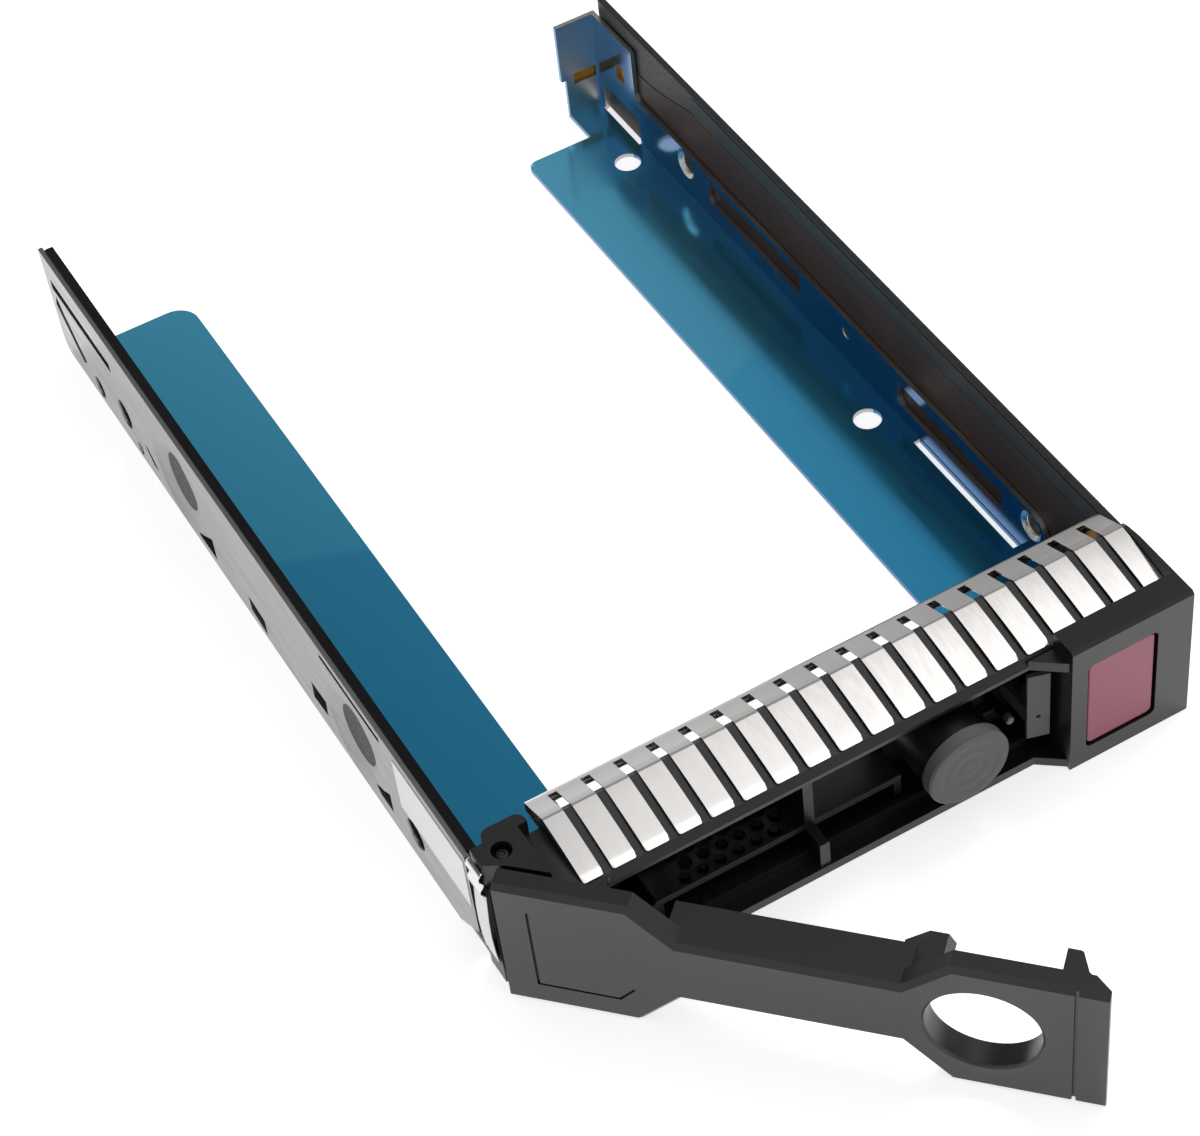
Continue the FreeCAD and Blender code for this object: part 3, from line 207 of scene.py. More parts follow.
# %% [markdown]
# ## Moulded plastics
#
# Black mouldings are not black: they are a very dark grey with a satin skin that picks up the pale studio.
# One black for all of them would be quicker, but the bezel, the lever, the liner and the cover came from
# different tools, and the cover has a coarser, duller grain that is easy to see beside the glossy lever.

# %% Plastics
black_shell = finish("black_shell", (0.004, 0.004, 0.005), (0.009, 0.009, 0.010), rough=(0.30, 0.42),
                     grain=3200, height=0.00003, ior=1.56)
black_lever = finish("black_lever", (0.005, 0.005, 0.006), (0.009, 0.009, 0.010), rough=(0.28, 0.40),
                     grain=3000, height=0.00003, ior=1.6)
black_liner = finish("black_liner", (0.003, 0.003, 0.004), (0.006, 0.006, 0.007), rough=(0.35, 0.5),
                     grain=2400, height=0.00002, shine=0.15)
black_cover = finish("black_cover", (0.004, 0.004, 0.004), (0.016, 0.016, 0.016), rough=(0.42, 0.62),
                     cloud=1500, grain=2600, height=0.00006)
maroon = finish("maroon_button", (0.35, 0.055, 0.110), (0.39, 0.068, 0.130), rough=(0.3, 0.42),
                grain=2800, height=0.00002, coat=0.2, coat_rough=0.25)
dark_guide = finish("dark_guide", (0.003, 0.002, 0.003), (0.006, 0.004, 0.006), rough=(0.3, 0.4),
                    height=0.000002)
frosted = finish("frosted_window", (0.085, 0.087, 0.090), (0.11, 0.112, 0.115), rough=(0.35, 0.5))
clear_peg = finish("clear_peg", (0.05, 0.05, 0.055), (0.09, 0.09, 0.095), rough=(0.15, 0.25), coat=0.4)
# The lamp board's green is painted nearly black, as painted shade for the deep cavity it sits in.
shaded_board = finish("shaded_board", (0.004, 0.008, 0.005), (0.008, 0.014, 0.009), rough=(0.4, 0.55))
dark_socket = finish("dark_socket", (0.010, 0.010, 0.010), (0.018, 0.018, 0.017), rough=(0.4, 0.55))
lamp_resin = finish("lamp_resin", (0.05, 0.045, 0.03), (0.09, 0.08, 0.05), rough=(0.2, 0.35), coat=0.4)
label_white = finish("label_white", (0.90, 0.91, 0.92), (0.94, 0.95, 0.96), rough=(0.10, 0.18),
                     grain=1800, height=0.000002, coat=0.5, coat_rough=0.08)
guard_black = finish("guard_black", (0.005, 0.005, 0.005), (0.010, 0.010, 0.010), rough=(0.3, 0.45))
print("plastics are mixed")

# %% [markdown]
# ## Metals
#
# The fingers are rolled stainless with a grain across the strip, the clip is polished spring steel,
# and the screws are darkened. A metal shows little colour of its own, so what tells them apart is how
# rough they are and which way the grain is stretched.

# %% Metals
finger_steel = finish("finger_steel", (0.70, 0.68, 0.665), (0.78, 0.76, 0.745), metallic=1.0,
                      rough=(0.17, 0.22), grain=1600, height=0.0000005, stretch=(1, 0.1, 1))
clip_steel = finish("clip_steel", (0.6, 0.59, 0.58), (0.7, 0.69, 0.68), metallic=1.0,
                    rough=(0.12, 0.24), grain=1800, height=0.00001)
dark_steel = finish("dark_screw_steel", (0.16, 0.16, 0.165), (0.22, 0.22, 0.225), metallic=1.0,
                    rough=(0.3, 0.42))
wire_steel = finish("wire_steel", (0.42, 0.42, 0.42), (0.5, 0.5, 0.5), metallic=1.0, rough=(0.2, 0.32))
gold = finish("contact_gold", (0.68, 0.42, 0.12), (0.78, 0.5, 0.17), metallic=1.0, rough=(0.15, 0.25))
print("metals are mixed")

# %% [markdown]
# ## The ribbon and the peg
#
# Polyimide is amber where light comes through it and nearly black where copper lies under it. The copper
# runs along the middle of the ribbon, so only its two ends are amber. The clear peg is painted nearly black
# except at its tip, as painted shade for the dark hole that the rest of it stands in. Both could be cut in
# two pieces with two materials, but the real ones are one piece each, so the colour changes by place.

# %% Ribbon and peg
AMBER_REAR = (0.1585, 0.1600)
AMBER_FRONT = (0.0245, 0.0230)
PEG_SHADE = (0.0058, 0.0064)

brown_film = finish("brown_ribbon", (0.026, 0.012, 0.007), (0.044, 0.020, 0.012), rough=(0.4, 0.52),
                    shine=0.25)
tree = brown_film.node_tree
ends = sum_of(tree, "ADD", by_place(tree, "Y", *AMBER_REAR), by_place(tree, "Y", *AMBER_FRONT))
overlay(brown_film, (0.60, 0.24, 0.02), ends)
# Painted shade: the peg's body behind its tip is painted nearly black for the dark hole round it.
overlay(clear_peg, (0.004, 0.004, 0.004), by_place(clear_peg.node_tree, "Y", *PEG_SHADE))
print("ribbon is amber before", AMBER_FRONT[0], "and behind", AMBER_REAR[0])

# %% [markdown]
# ## The grey disc
#
# The disc carries fine turned rings. They are a few hundredths of a millimetre deep, so real grooves would
# cost many faces for little, and a ring wave in the bump shows the same. It is laid over the grain's bump,
# so that the disc keeps its satin skin.

# %% Disc
DISC_CENTRE = (0.0151, 0, 0.0127)
RING_SCALE, RING_STRENGTH, RING_DEPTH = 150, 0.5, 0.00012

grey_lens = finish("grey_lens", (0.085, 0.083, 0.085), (0.11, 0.107, 0.11), rough=(0.42, 0.55),
                   grain=2600, height=0.00002)
tree = grey_lens.node_tree
place = tree.nodes.new("ShaderNodeTexCoord")
centre = tree.nodes.new("ShaderNodeMapping")
centre.inputs["Location"].default_value = [-c for c in DISC_CENTRE]
rings = tree.nodes.new("ShaderNodeTexWave")
rings.wave_type = "RINGS"
rings.rings_direction = "Y"
rings.inputs["Scale"].default_value = RING_SCALE
groove = tree.nodes.new("ShaderNodeBump")
groove.inputs["Strength"].default_value = RING_STRENGTH
groove.inputs["Distance"].default_value = RING_DEPTH
tree.links.new(place.outputs["Object"], centre.inputs["Vector"])
tree.links.new(centre.outputs["Vector"], rings.inputs["Vector"])
tree.links.new(rings.outputs["Fac"], groove.inputs["Height"])
tree.links.new(tree.nodes["Bump"].outputs["Normal"], groove.inputs["Normal"])
tree.links.new(groove.outputs["Normal"], tree.nodes["Principled BSDF"].inputs["Normal"])
print("disc rings are centred on", DISC_CENTRE)

# %% [markdown]
# ## The blue film
#
# The rails are plated steel, and their inner faces still wear the blue protective film of a new part. The
# film could be made of two layers, but light passes the blue twice and leaves as a blue mirror, so one
# metallic shader with a blue colour shows the same. Its colour lightens from front to rear and steps a
# little at a slanting line across the flange, and on the upright walls it is painted darker, as painted
# shade.

# %% The film's colour
FILM_STEP_MIDDLE = 0.0816  # metres behind the front, where the flange has its middle
STEP_SLANT = 0.43
STEP_SPOTS, STEP_SHARE = (0.495, 0.505), 0.4
FADE_LENGTH = 0.08
# Painted shade: this filter darkens the film on the upright walls.
WALL_SHADE_FILTER = (0.5, 0.32, 0.42, 1)


def film_colour(tree, outward, near, middle, far, wall):
    """The film's blue from front to rear, with painted shade where wall is 1."""
    place = tree.nodes.new("ShaderNodeTexCoord")
    slanted = tree.nodes.new("ShaderNodeVectorMath")
    slanted.operation = "DOT_PRODUCT"
    slanted.inputs[1].default_value = (-STEP_SLANT * outward, 1, 0)
    tree.links.new(place.outputs["Object"], slanted.inputs[0])
    run = tree.nodes.new("ShaderNodeValToRGB")
    for element, colour, spot in zip(run.color_ramp.elements, (near, far), (0.0, 1.0)):
        element.position, element.color = spot, (*colour, 1)
    behind = tuple((1 - STEP_SHARE) * a + STEP_SHARE * b for a, b in zip(middle, far))
    for spot, colour in zip(STEP_SPOTS, (middle, behind)):
        run.color_ramp.elements.new(spot).color = (*colour, 1)
    along = remap(tree, slanted.outputs["Value"], FILM_STEP_MIDDLE - FADE_LENGTH, FILM_STEP_MIDDLE + FADE_LENGTH, 0.0, 1.0)
    tree.links.new(along, run.inputs["Fac"])
    return mixed(tree, "MULTIPLY", wall, run.outputs["Color"], WALL_SHADE_FILTER)


# %% [markdown]
# ### Film on one side only
#
# The rails' outer faces and cut edges have no film. Each rail could be split into two pieces, but it is one
# bent sheet, so its one material chooses by the face's own direction and height: the faces that look
# inwards and the top of the flange are blue, and all others are bare steel.

# %% The rails' material
FLANGE_TOP = (0.0012, 0.0010)
FACING = 0.8  # how squarely a face has to look inwards or up to count as filmed
UPRIGHT_TO_FLAT = (0.3, 0.7)
WALL_MIRROR = 0.94
FILM_ROUGH, BARE_ROUGH = (0.13, 0.19), (0.28, 0.4)
FILM_COAT, FILM_COAT_ROUGH = 0.15, 0.1
ROLL_GRAIN, ROLL_STRETCH = 900, (1, 0.08, 1)
PLATING_CLOUD, PLATING_SPREAD = 14, (0.92, 1.08)


def rail_finish(name, outward, near, middle, far, steel, mirror):
    """Blue film inside and bare steel outside. outward is -1 or +1 in X."""
    material, tree, output = new_material(name)
    film = tree.nodes.new("ShaderNodeBsdfPrincipled")
    film.inputs["Coat Weight"].default_value = FILM_COAT
    film.inputs["Coat Roughness"].default_value = FILM_COAT_ROUGH
    bare = tree.nodes.new("ShaderNodeBsdfPrincipled")
    bare.inputs["Metallic"].default_value = 1.0
    direction = tree.nodes.new("ShaderNodeNewGeometry")
    split = tree.nodes.new("ShaderNodeSeparateXYZ")
    tree.links.new(direction.outputs["True Normal"], split.inputs["Vector"])

    fine = noise(tree, ROLL_GRAIN, 3.0, ROLL_STRETCH)
    tree.links.new(remap(tree, fine, *NOISE_SPAN, *FILM_ROUGH), film.inputs["Roughness"])
    tree.links.new(remap(tree, fine, *NOISE_SPAN, *BARE_ROUGH), bare.inputs["Roughness"])
    dull, bright = (tuple(c * k for c in steel) for k in PLATING_SPREAD)
    tree.links.new(tint(tree, noise(tree, PLATING_CLOUD), dull, bright), bare.inputs["Base Color"])
    metal = remap(tree, split.outputs["Z"], *UPRIGHT_TO_FLAT, WALL_MIRROR, mirror)
    tree.links.new(metal, film.inputs["Metallic"])
    wall = remap(tree, split.outputs["Z"], *UPRIGHT_TO_FLAT, 1.0, 0.0)
    tree.links.new(film_colour(tree, outward, near, middle, far, wall), film.inputs["Base Color"])

    inwards = sum_of(tree, "MULTIPLY", split.outputs["X"], -outward)
    flange = sum_of(tree, "MULTIPLY", by_place(tree, "Z", *FLANGE_TOP), split.outputs["Z"])
    filmed = sum_of(tree, "GREATER_THAN", sum_of(tree, "MAXIMUM", inwards, flange), FACING)
    blend = tree.nodes.new("ShaderNodeMixShader")
    tree.links.new(filmed, blend.inputs["Fac"])
    tree.links.new(bare.outputs["BSDF"], blend.inputs[1])
    tree.links.new(film.outputs["BSDF"], blend.inputs[2])
    tree.links.new(blend.outputs["Shader"], output.inputs["Surface"])
    return material


# The two rails are the same plated steel under the same film. The left rail's film, steel and metal are
# painted darker, as painted shade, and the right rail's film is painted lighter, as painted light.
left_shaded_finish = rail_finish(
    "left_rail_shaded_finish", -1, near=(0.022, 0.27, 0.49), middle=(0.030, 0.31, 0.54), far=(0.080, 0.44, 0.67),
    steel=(0.30, 0.295, 0.29), mirror=0.7)
right_lit_finish = rail_finish(
    "right_rail_lit_finish", 1, near=(0.048, 0.48, 0.90), middle=(0.092, 0.58, 0.95), far=(0.18, 0.68, 1.0),
    steel=(0.56, 0.545, 0.535), mirror=0.9)
print("rails are blue inside and bare outside")

# %% [markdown]
# ## Softened mouldings
#
# A moulded or milled edge is never a knife edge: a radius of a few tenths of a millimetre runs along it
# and draws the thin bright line that tells the eye it is plastic. The CAD solids have those edges sharp.
# A Bevel node could fake the line, but real geometry holds up from every side, so a copy of the solid
# gets its flat faces merged and its sharp edges bevelled, and stands in for the CAD node. Normals that
# are weighted by area then keep the large faces flat, so that only the bevels turn the light.


# %% Helper: a softened copy of a CAD node
CORNER_RADIUS, CORNER_SEGMENTS = 1.6, 6
MERGE_ANGLE, SHARP_ANGLE = 1.0, 35  # degrees
SAME_SPOT = 1e-6


def soften(node, name, body, material, width, segments=2, rounded=None):
    """Copy a CAD node, merge its flat faces, bevel its sharp edges and let the copy stand for it."""
    mesh = nodes[node].data.copy()
    mesh.name = name
    mesh.materials.clear()
    mesh.materials.append(material)
    work = bmesh.new()
    work.from_mesh(mesh)
    bmesh.ops.remove_doubles(work, verts=work.verts, dist=SAME_SPOT)
    bmesh.ops.dissolve_limit(work, angle_limit=math.radians(MERGE_ANGLE), verts=work.verts, edges=work.edges)
    if rounded:
        chosen = [edge for edge in work.edges if rounded(edge)]
        print(name, "edges with a larger radius:", len(chosen))
        bmesh.ops.bevel(work, geom=chosen, offset=CORNER_RADIUS * MM, segments=CORNER_SEGMENTS,
                        affect="EDGES", profile=0.5)
    work.to_mesh(mesh)
    work.free()
    for face in mesh.polygons:
        face.use_smooth = True
    piece = bpy.data.objects.new(name, mesh)
    scene.collection.objects.link(piece)
    bevel = piece.modifiers.new("edges", "BEVEL")
    bevel.width = width * MM
    bevel.segments = segments
    bevel.limit_method = "ANGLE"
    bevel.angle_limit = math.radians(SHARP_ANGLE)
    bevel.use_clamp_overlap = True
    flat = piece.modifiers.new("flat", "WEIGHTED_NORMAL")
    flat.mode = "FACE_AREA"
    flat.weight = 100
    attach(piece, body)
    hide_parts(node)
    print(name, "faces before its bevels:", len(mesh.polygons))


# %% [markdown]
# ### Bezel, lever and button
#
# The lever's heel has one corner with a larger radius than its other edges. It runs through the depth of
# the lever at its lower left end, and it is found by its place: how far it lies from the hinge along the
# open lever, and how low. The button's edge is rounder than the others, because a finger presses it.

# %% Softened mouldings
HINGE = Vector((-0.0405, 0.0078, 0))
LEVER_OPEN = math.radians(-46)
LEVER_WAY = Vector((math.cos(LEVER_OPEN), math.sin(LEVER_OPEN), 0))
HEEL_END, HEEL_FOOT, SHORTEST = -10.3, 0.1, 0.5


def heel_corner(edge):
    """The lower left corner of the lever's heel, which runs through its depth."""
    ends = [vert.co for vert in edge.verts]
    if any((p - HINGE).dot(LEVER_WAY) > HEEL_END * MM or p.z > HEEL_FOOT * MM for p in ends):
        return False
    return edge.calc_length() > SHORTEST * MM


soften("front_bezel", "bezel_moulding", "carrier", black_shell, width=0.22)
soften("lever", "ejector_lever", "swing_lever", black_lever, width=0.3, rounded=heel_corner)
soften("release_button", "button_cap", "button", maroon, width=0.4, segments=4)

# %% [markdown]
# ## Rails with broken edges
#
# Stamped sheet keeps a bright, slightly rounded edge where the tool tore through it, and it is these
# thin lines that draw the windows of the rails. A narrow bevel is enough, and the rear corner of the
# right flange gets a larger radius, as on the real one.

# %% Rails
FLANGE_EDGE, FLANGE_REAR = 0.032, 0.1612
CLOSE = 0.05


def flange_corner(edge):
    """The free rear corner of the right rail's flange."""
    ends = [vert.co for vert in edge.verts]
    return all(abs(p.x - FLANGE_EDGE) < CLOSE * MM and abs(p.y - FLANGE_REAR) < CLOSE * MM for p in ends)


soften("left_rail", "left_rail_sheet", "carrier", left_shaded_finish, width=0.1, segments=1)
soften("right_rail", "right_rail_sheet", "carrier", right_lit_finish, width=0.12, segments=1,
       rounded=flange_corner)

# %% [markdown]
# ## Pieces from points
#
# The plug, the fingers and the clip aren't copies of a CAD solid. Their points are worked out in
# millimetres, as they would stand on a drawing, and one helper turns them into a piece in metres that
# rides on its body.


# %% Helper: a piece from points
SMOOTH_ANGLE = 30  # degrees


def mesh_piece(name, verts, faces, body, material, smooth=SMOOTH_ANGLE):
    """A new piece from points in millimetres."""
    mesh = bpy.data.meshes.new(name)
    mesh.from_pydata([Vector(v) * MM for v in verts], [], faces)
    mesh.validate()
    mesh.materials.append(material)
    for face in mesh.polygons:
        face.use_smooth = True
    mesh.set_sharp_from_angle(angle=math.radians(smooth))
    piece = bpy.data.objects.new(name, mesh)
    scene.collection.objects.link(piece)
    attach(piece, body)
    return piece


# %% [markdown]
# ## The corner's plug
#
# The moulded corner beside the hinge has a sunk seat with a round headed plug in it. A turned part like this
# comes from one outline of radius and height that is spun round its axis. A modifier could do the
# spinning, but a short loop closes both ends with clean faces as well.

# %% Turned plug
PLUG_CENTRE = (-49.2, 14.4)
PLUG_OUTLINE = [(1.05, 22.75), (1.05, 23.9), (1.0, 24.15), (0.8, 24.35), (0.45, 24.4), (0.4, 24.25),
                (0.15, 24.2)]


def turned(name, outline, centre, body, material, count=32):
    """Spin an outline of (radius, height) in millimetres round an upright axis."""
    verts, faces = [], []
    for radius, high in outline:
        for i in range(count):
            angle = 2 * math.pi * i / count
            verts.append((centre[0] + radius * math.cos(angle), centre[1] + radius * math.sin(angle), high))
    for ring in range(len(outline) - 1):
        for i in range(count):
            a, b = ring * count + i, ring * count + (i + 1) % count
            faces.append((a, b, b + count, a + count))
    faces.append(tuple(reversed(range(count))))
    faces.append(tuple(range((len(outline) - 1) * count, len(outline) * count)))
    mesh_piece(name, verts, faces, body, material)


turned("corner_plug", PLUG_OUTLINE, PLUG_CENTRE, "carrier", black_shell)
print("corner plug sits in its recess")

# %% [markdown]
# ## The finger strip
#
# Nineteen fingers are cut from one folded strip of thin stainless steel. What the eye reads is the way the
# light runs over each finger: grey at the crest, white at the tip. A flat slope can't show that, so the
# strip is laid out as a grid along its bent section, with the slots left out, a slight crown in every
# finger and round corners at the tips. Sizes in this part are in millimetres.

# %% The strip's section
SLOPE_FROM, SLOPE_RUN, SLOPE_RISE, SLOPE_CROWN = (6.5, 23.38), 9.1, 1.63, 0.45
SLOPE_STEPS = 9
TIP_CURL = [(5.05, 22.84), (5.45, 23.03), (5.85, 23.19), (6.2, 23.3)]
CREST_TO_FOLD = [(15.9, 25.05), (16.2, 25.0), (17.6, 24.38), (19.2, 23.68), (20.55, 23.16), (21.3, 22.9),
                 (21.57, 22.72), (21.6, 22.4)]
UNDER_FOLD = [(21.6, 21.35), (21.5, 21.14), (21.2, 21.1), (20.7, 21.1), (17.25, 21.1), (17.05, 21.0),
              (17.0, 20.8), (17.0, 17.0)]
slope = []
for step in range(SLOPE_STEPS + 1):
    share = step / SLOPE_STEPS
    slope.append((SLOPE_FROM[0] + SLOPE_RUN * share,
                  SLOPE_FROM[1] + SLOPE_RISE * share + SLOPE_CROWN * share * (1 - share)))
section = TIP_CURL + slope + CREST_TO_FOLD + UNDER_FOLD
print("rows:", len(section))

# %% [markdown]
# ### The strip's columns
#
# Each finger gets columns close together near its two sides, where its corner is round, and one in its
# middle. Slots are simply the gaps between one finger's last column and the next one's first.

# %% The strip's columns
PITCH, SLOT, FIRST = 5.08, 1.4, -38.4
SLOT_COUNT = 18
STRIP_ENDS = (-42.2, 51.9)
INSETS = [0, 0.06, 0.16, 0.3, 0.5]
slots = [FIRST + PITCH * i for i in range(SLOT_COUNT)]
sides = [STRIP_ENDS[0]] + [x for c in slots for x in (c - SLOT / 2, c + SLOT / 2)] + [STRIP_ENDS[1]]
fingers = list(zip(sides[0::2], sides[1::2]))
columns = []
for left, right in fingers:
    columns += [left + i for i in INSETS] + [(left + right) / 2] + [right - i for i in reversed(INSETS)]
print("fingers:", len(fingers), "columns:", len(columns))

# %% [markdown]
# ### From grid to sheet
#
# The grid leaves out the slots as far as the rear fold, and relief windows on the underside. A Solidify
# modifier gives the sheet its thickness, and a narrow Bevel breaks the rim, so that each finger gets the
# fine line of light round it that the real ones have.

# %% The strip as a sheet with thickness
SHEET, RIM, RIM_ANGLE = 0.2, 0.05, 50
TIP_ROUND, TIP_ROWS, TIP_FADE, TIP_SLOPE = 0.4, 2, 1.5, 0.24
NEARLY = 0.001
LAST_SLOT_ROW = 18
UNDER_ROWS, UNDER_REACH = (25, 26), 2.0


def tip_back(x):
    """How far the tip's outline lies back at a column, for the round corners of a finger."""
    for left, right in fingers:
        if left - NEARLY <= x <= right + NEARLY:
            near = min(x - left, right - x)
            return TIP_ROUND - math.sqrt(max(TIP_ROUND ** 2 - max(TIP_ROUND - near, 0) ** 2, 0))
    return 0


verts, faces = [], []
for x in columns:
    for row, (y, z) in enumerate(section):
        back = tip_back(x) * max(0.0, 1 - row / TIP_FADE) if row < TIP_ROWS else 0
        verts.append((x, y + back, z + back * TIP_SLOPE))
rows = len(section)
for i in range(len(columns) - 1):
    middle = (columns[i] + columns[i + 1]) / 2
    gap = any(abs(middle - c) < SLOT / 2 for c in slots)
    relief = any(c - SLOT / 2 < middle < c + UNDER_REACH for c in slots)
    for row in range(rows - 1):
        if (gap and row < LAST_SLOT_ROW) or (relief and row in UNDER_ROWS):
            continue
        a = i * rows + row
        faces.append((a, a + rows, a + rows + 1, a + 1))
strip = mesh_piece("finger_comb", verts, faces, "carrier", finger_steel, smooth=40)
work = bmesh.new()
work.from_mesh(strip.data)
bmesh.ops.delete(work, geom=[v for v in work.verts if not v.link_faces], context="VERTS")
bmesh.ops.recalc_face_normals(work, faces=work.faces)
work.to_mesh(strip.data)
work.free()
thick = strip.modifiers.new("sheet", "SOLIDIFY")
thick.thickness = SHEET * MM
thick.offset = -1
rim = strip.modifiers.new("rim", "BEVEL")
rim.width = RIM * MM
rim.segments = 2
rim.limit_method = "ANGLE"
rim.angle_limit = math.radians(RIM_ANGLE)
rim.harden_normals = True
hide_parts("finger_strip")
print("finger comb:", len(faces), "quads")

# %% [markdown]
# ## The ground clip
#
# The clip is a springy ribbon of bright steel with two waves at its top, so it is made as the comb was: a
# bent path, repeated at a few depths across the ribbon, and a thickness.

# %% Ground clip
CLIP_FACE = -52.9
CLIP_ACROSS = (12.9, 13.2, 16.3, 16.6)
CLIP_WAVE = [(0.15, 24.2), (0.55, 23.9), (0.85, 23.4), (0.75, 22.8), (0.35, 22.3), (0.18, 21.9), (0.4, 21.4),
             (0.85, 20.9), (0.9, 20.3), (0.5, 19.8), (0.2, 19.3), (0.3, 17.5), (0.5, 14.0), (0.55, 10.5),
             (0.4, 7.0), (0.2, 4.6), (0.05, 4.0)]
high = len(CLIP_WAVE)
verts = [(CLIP_FACE - out, y, z) for y in CLIP_ACROSS for out, z in CLIP_WAVE]
faces = [(c * high + r, (c + 1) * high + r, (c + 1) * high + r + 1, c * high + r + 1)
         for c in range(len(CLIP_ACROSS) - 1) for r in range(high - 1)]
clip = mesh_piece("spring_clip", verts, faces, "carrier", clip_steel, smooth=60)
thick = clip.modifiers.new("sheet", "SOLIDIFY")
thick.thickness = SHEET * MM
thick.offset = 0
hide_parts("ground_clip")
print("clip:", len(faces), "quads")

# %% [markdown]
# ## Materials on the remaining CAD nodes
#
# The springs, lenses, board, ribbon, liner and cover already have the right shape, so only their material
# changes. Their faces are shaded smooth up to an angle, which keeps wires round and boxes crisp.


# %% Dress the nodes
def dress(node, material):
    """Give a CAD node its material and smooth shading."""
    mesh = nodes[node].data
    mesh.materials.clear()
    mesh.materials.append(material)
    for face in mesh.polygons:
        face.use_smooth = True
    mesh.set_sharp_from_angle(angle=math.radians(SMOOTH_ANGLE))


DRESSED = {
    "hinge_pin": clip_steel, "lever_spring": wire_steel, "button_spring": wire_steel,
    "latch_slider": black_shell, "indicator_lens": grey_lens, "light_guide": dark_guide,
    "status_lens": frosted, "pilot_lens": clear_peg, "lamp_board": shaded_board, "lamps": lamp_resin,
    "flex_socket": dark_socket, "left_liner": black_liner, "side_cover": black_cover,
    "flex_ribbon": brown_film, "ribbon_guard": guard_black, "rear_contacts": gold,
    "left_rail_screws": dark_steel, "right_rail_screws": dark_steel, "side_label": label_white}
for node, material in DRESSED.items():
    dress(node, material)
print("dressed nodes:", len(DRESSED))

# %% [markdown]
# ## Floor
#
# The photograph has a white table that keeps a soft shadow. A floor lit until it is white would also
# bleach the part, so the lamp stays at a plain level and the floor's own colour is lifted to white where
# the camera sees it, and where metal or glass shows it. The light that falls on the floor still makes the
# shadow, because the lift is added to it.

# %% Floor
FLOOR_HALF = 3
FLOOR_PAPER = 0.86
FLOOR_LIFT = 0.68
corners = [(x * FLOOR_HALF, y * FLOOR_HALF, 0) for x, y in ((-1, -1), (1, -1), (1, 1), (-1, 1))]
floor_mesh = bpy.data.meshes.new("studio_floor")
floor_mesh.from_pydata(corners, [], [(0, 1, 2, 3)])
floor = bpy.data.objects.new("studio_floor", floor_mesh)
scene.collection.objects.link(floor)
floor_material, tree, output = new_material("studio_floor")
paper = tree.nodes.new("ShaderNodeBsdfDiffuse")
paper.inputs["Color"].default_value = (FLOOR_PAPER, FLOOR_PAPER, FLOOR_PAPER, 1)
path = tree.nodes.new("ShaderNodeLightPath")
seen = sum_of(tree, "ADD", path.outputs["Is Camera Ray"], path.outputs["Is Glossy Ray"])
seen = sum_of(tree, "ADD", seen, path.outputs["Is Transmission Ray"], clamp=True)
lift = tree.nodes.new("ShaderNodeEmission")
lift.inputs["Color"].default_value = (1, 1, 1, 1)
tree.links.new(sum_of(tree, "MULTIPLY", seen, FLOOR_LIFT), lift.inputs["Strength"])
both = tree.nodes.new("ShaderNodeAddShader")
tree.links.new(paper.outputs[0], both.inputs[0])
tree.links.new(lift.outputs[0], both.inputs[1])
tree.links.new(both.outputs[0], output.inputs["Surface"])
floor_mesh.materials.append(floor_material)
print("floor is lifted by", FLOOR_LIFT)

# %% [markdown]
# ## What the shiny faces see
#
# Bright metal has no look of its own: it shows the room. This room has a bright panel almost overhead, a
# dim middle height behind the table and a pale horizon, and the black mouldings and the blue film owe
# their depth to that dim part. So the world is even for the light that it gives, and has these
# zones for the rays that mirror it. They hang in the room and not on the camera, so a turn of the part
# moves the reflections as it should.

# %% The room's zones by height
ROOM_LIGHT = 0.62
ZONE_ENDS = (0.80, 0.85)
ZONES = ((0.38, 0.72), (0.55, 0.37), (0.80, 0.37), (0.90, 0.80))
world = bpy.data.worlds.new("studio")
scene.world = world
world.use_nodes = True
tree = world.node_tree
tree.nodes.clear()
output = tree.nodes.new("ShaderNodeOutputWorld")
sky = tree.nodes.new("ShaderNodeBackground")
path = tree.nodes.new("ShaderNodeLightPath")
way = tree.nodes.new("ShaderNodeTexCoord")
split = tree.nodes.new("ShaderNodeSeparateXYZ")
tree.links.new(way.outputs["Generated"], split.inputs["Vector"])
across, depth, height = (split.outputs[axis] for axis in "XYZ")
zones = tree.nodes.new("ShaderNodeValToRGB")
zones.color_ramp.interpolation = "EASE"
for element, level in zip(zones.color_ramp.elements, ZONE_ENDS):
    element.color = (level, level, level, 1)
for place, level in ZONES:
    zones.color_ramp.elements.new(place).color = (level, level, level, 1)
tree.links.new(height, zones.inputs["Fac"])
print("zones:", len(zones.color_ramp.elements))

# %% [markdown]
# ### Panel, seam and curtain
#
# Five things in the room don't go by height alone. The overhead panel is brighter to the right, the pale
# horizon fades to the right, a slanting seam crosses the panels, a dark curtain hangs behind on the left,
# and the wall before the table is lighter. A mirror image of real cards and curtains would need all of
# them built round the table, and here each is one factor, multiplied with the others.

# %% The room's other features
OVERHEAD, PANEL_SIDE, PANEL_GAIN = (0.82, 0.88), (0.22, 0.33), 1.5
HORIZON, FADE_SIDE, HORIZON_FADE = (0.3, 0.45), (0.25, 0.42), 0.5
SEAM_EDGE, SEAM_LEAN, SEAM_STEP = (-0.01, 0.01), 1.08, 1.1
CURTAIN_WAY, CURTAIN_EDGE, CURTAIN_DIM = (-0.34, 0.58, 0.74), (0.3, 0.6), 0.3
FRONT_EDGE, FRONT_GAIN = (-0.02, 0.12), 1.7

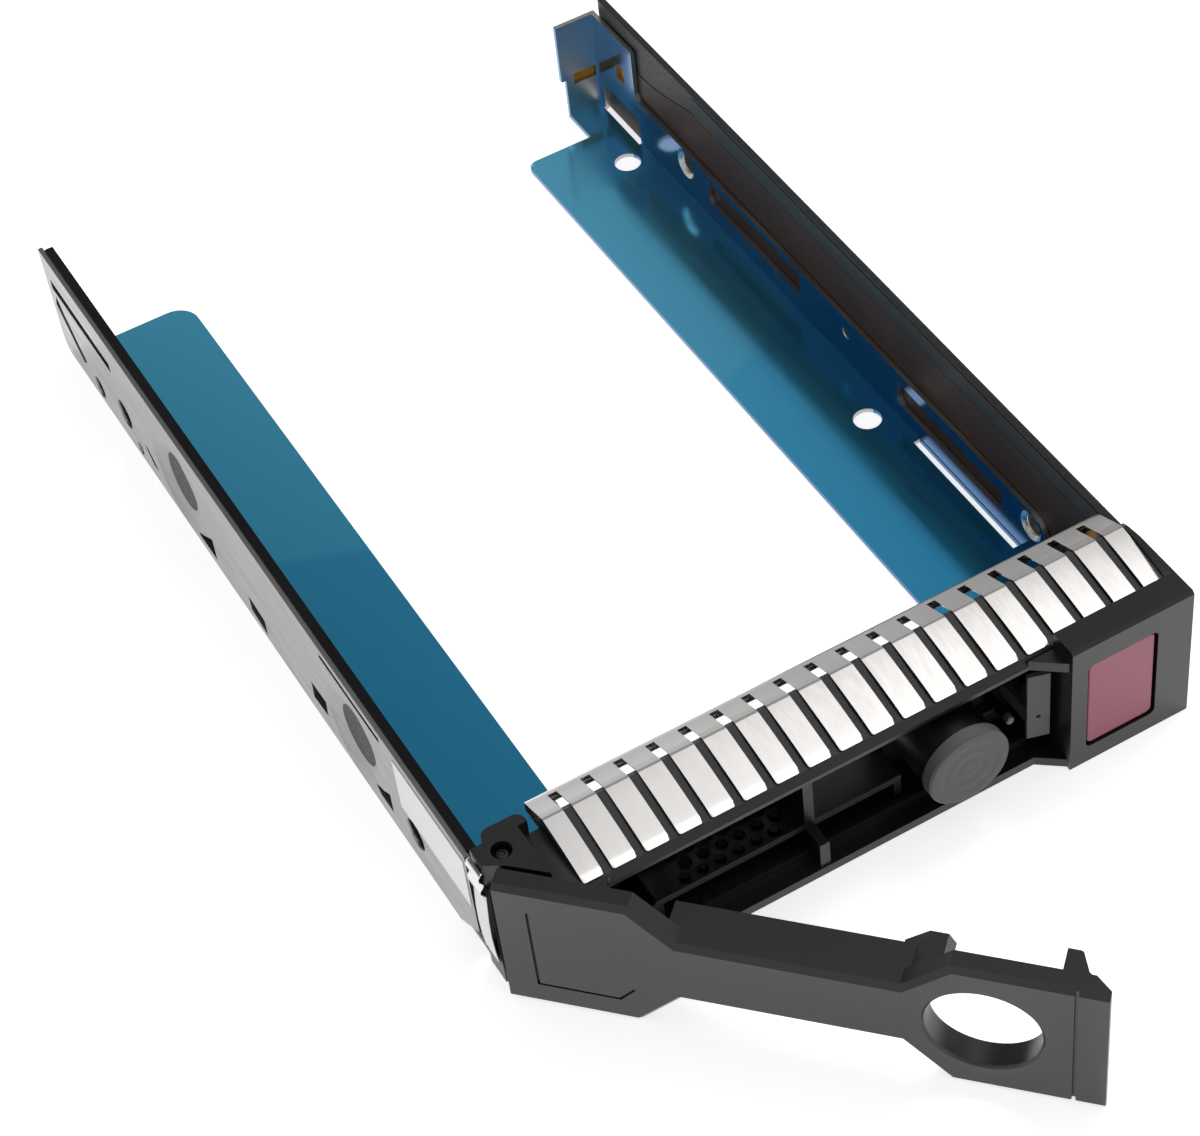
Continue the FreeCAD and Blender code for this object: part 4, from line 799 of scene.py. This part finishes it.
overhead = remap(tree, height, *OVERHEAD, 0.0, 1.0)
to_right = remap(tree, across, *PANEL_SIDE, 0.0, PANEL_GAIN)
panel = sum_of(tree, "ADD", 1.0, sum_of(tree, "MULTIPLY", overhead, to_right))
horizon = remap(tree, height, *HORIZON, 1.0, 0.0)
fading = remap(tree, across, *FADE_SIDE, 0.0, HORIZON_FADE)
fade = sum_of(tree, "SUBTRACT", 1.0, sum_of(tree, "MULTIPLY", horizon, fading))
past_seam = sum_of(tree, "SUBTRACT", height, sum_of(tree, "MULTIPLY", depth, SEAM_LEAN))
step = remap(tree, past_seam, *SEAM_EDGE, SEAM_STEP, 1.0)
curtain = tree.nodes.new("ShaderNodeVectorMath")
curtain.operation = "DISTANCE"
curtain.inputs[1].default_value = CURTAIN_WAY
tree.links.new(way.outputs["Generated"], curtain.inputs[0])
dim = remap(tree, curtain.outputs["Value"], *CURTAIN_EDGE, CURTAIN_DIM, 1.0)
front = remap(tree, depth, *FRONT_EDGE, FRONT_GAIN, 1.0)
mirrored = zones.outputs["Color"]
for factor in (panel, front, fade, step, dim):
    mirrored = sum_of(tree, "MULTIPLY", mirrored, factor)
print("the room has its panel, seam, curtain and front")

# %% [markdown]
# ### One world for light and for mirrors
#
# Light and mirror image could come from two worlds, but a world has one output, so it asks each ray what
# it is for. A ray that lights a dull face gets the even level, a ray that mirrors gets the zones, and the
# camera sees plain white behind the part, also through clear plastic.

# %% World
lit = tree.nodes.new("ShaderNodeMix")
lit.inputs["A"].default_value = ROOM_LIGHT
tree.links.new(path.outputs["Is Glossy Ray"], lit.inputs["Factor"])
tree.links.new(mirrored, lit.inputs["B"])
seen = sum_of(tree, "MAXIMUM", path.outputs["Is Camera Ray"], path.outputs["Is Transmission Ray"])
tree.links.new(sum_of(tree, "MAXIMUM", lit.outputs["Result"], seen), sky.inputs["Strength"])
tree.links.new(sky.outputs["Background"], output.inputs["Surface"])
print("room light:", ROOM_LIGHT)

# %% [markdown]
# ## The lamp
#
# The photograph's shadow is faint and falls towards the front left. A sun would draw it hard, so one
# broad area lamp stands high on the right and behind. It is hidden from mirrors, because the room's zones
# already hold what the steel should show.

# %% Key light
LAMP_PLACE = Vector((0.75, 0.55, 1.15))
LAMP_AIM = Vector((0, 0.06, 0))
LAMP_SIZE, LAMP_POWER = 0.8, 12
key_data = bpy.data.lights.new("key", "AREA")
key_data.size, key_data.energy = LAMP_SIZE, LAMP_POWER
key = bpy.data.objects.new("key", key_data)
scene.collection.objects.link(key)
key.location = LAMP_PLACE
key.rotation_mode = "QUATERNION"
key.rotation_quaternion = (LAMP_AIM - LAMP_PLACE).to_track_quat("-Z", "Y")
key.visible_glossy = False
scene.view_settings.view_transform = "Standard"
print("key light:", key_data.energy, "W")
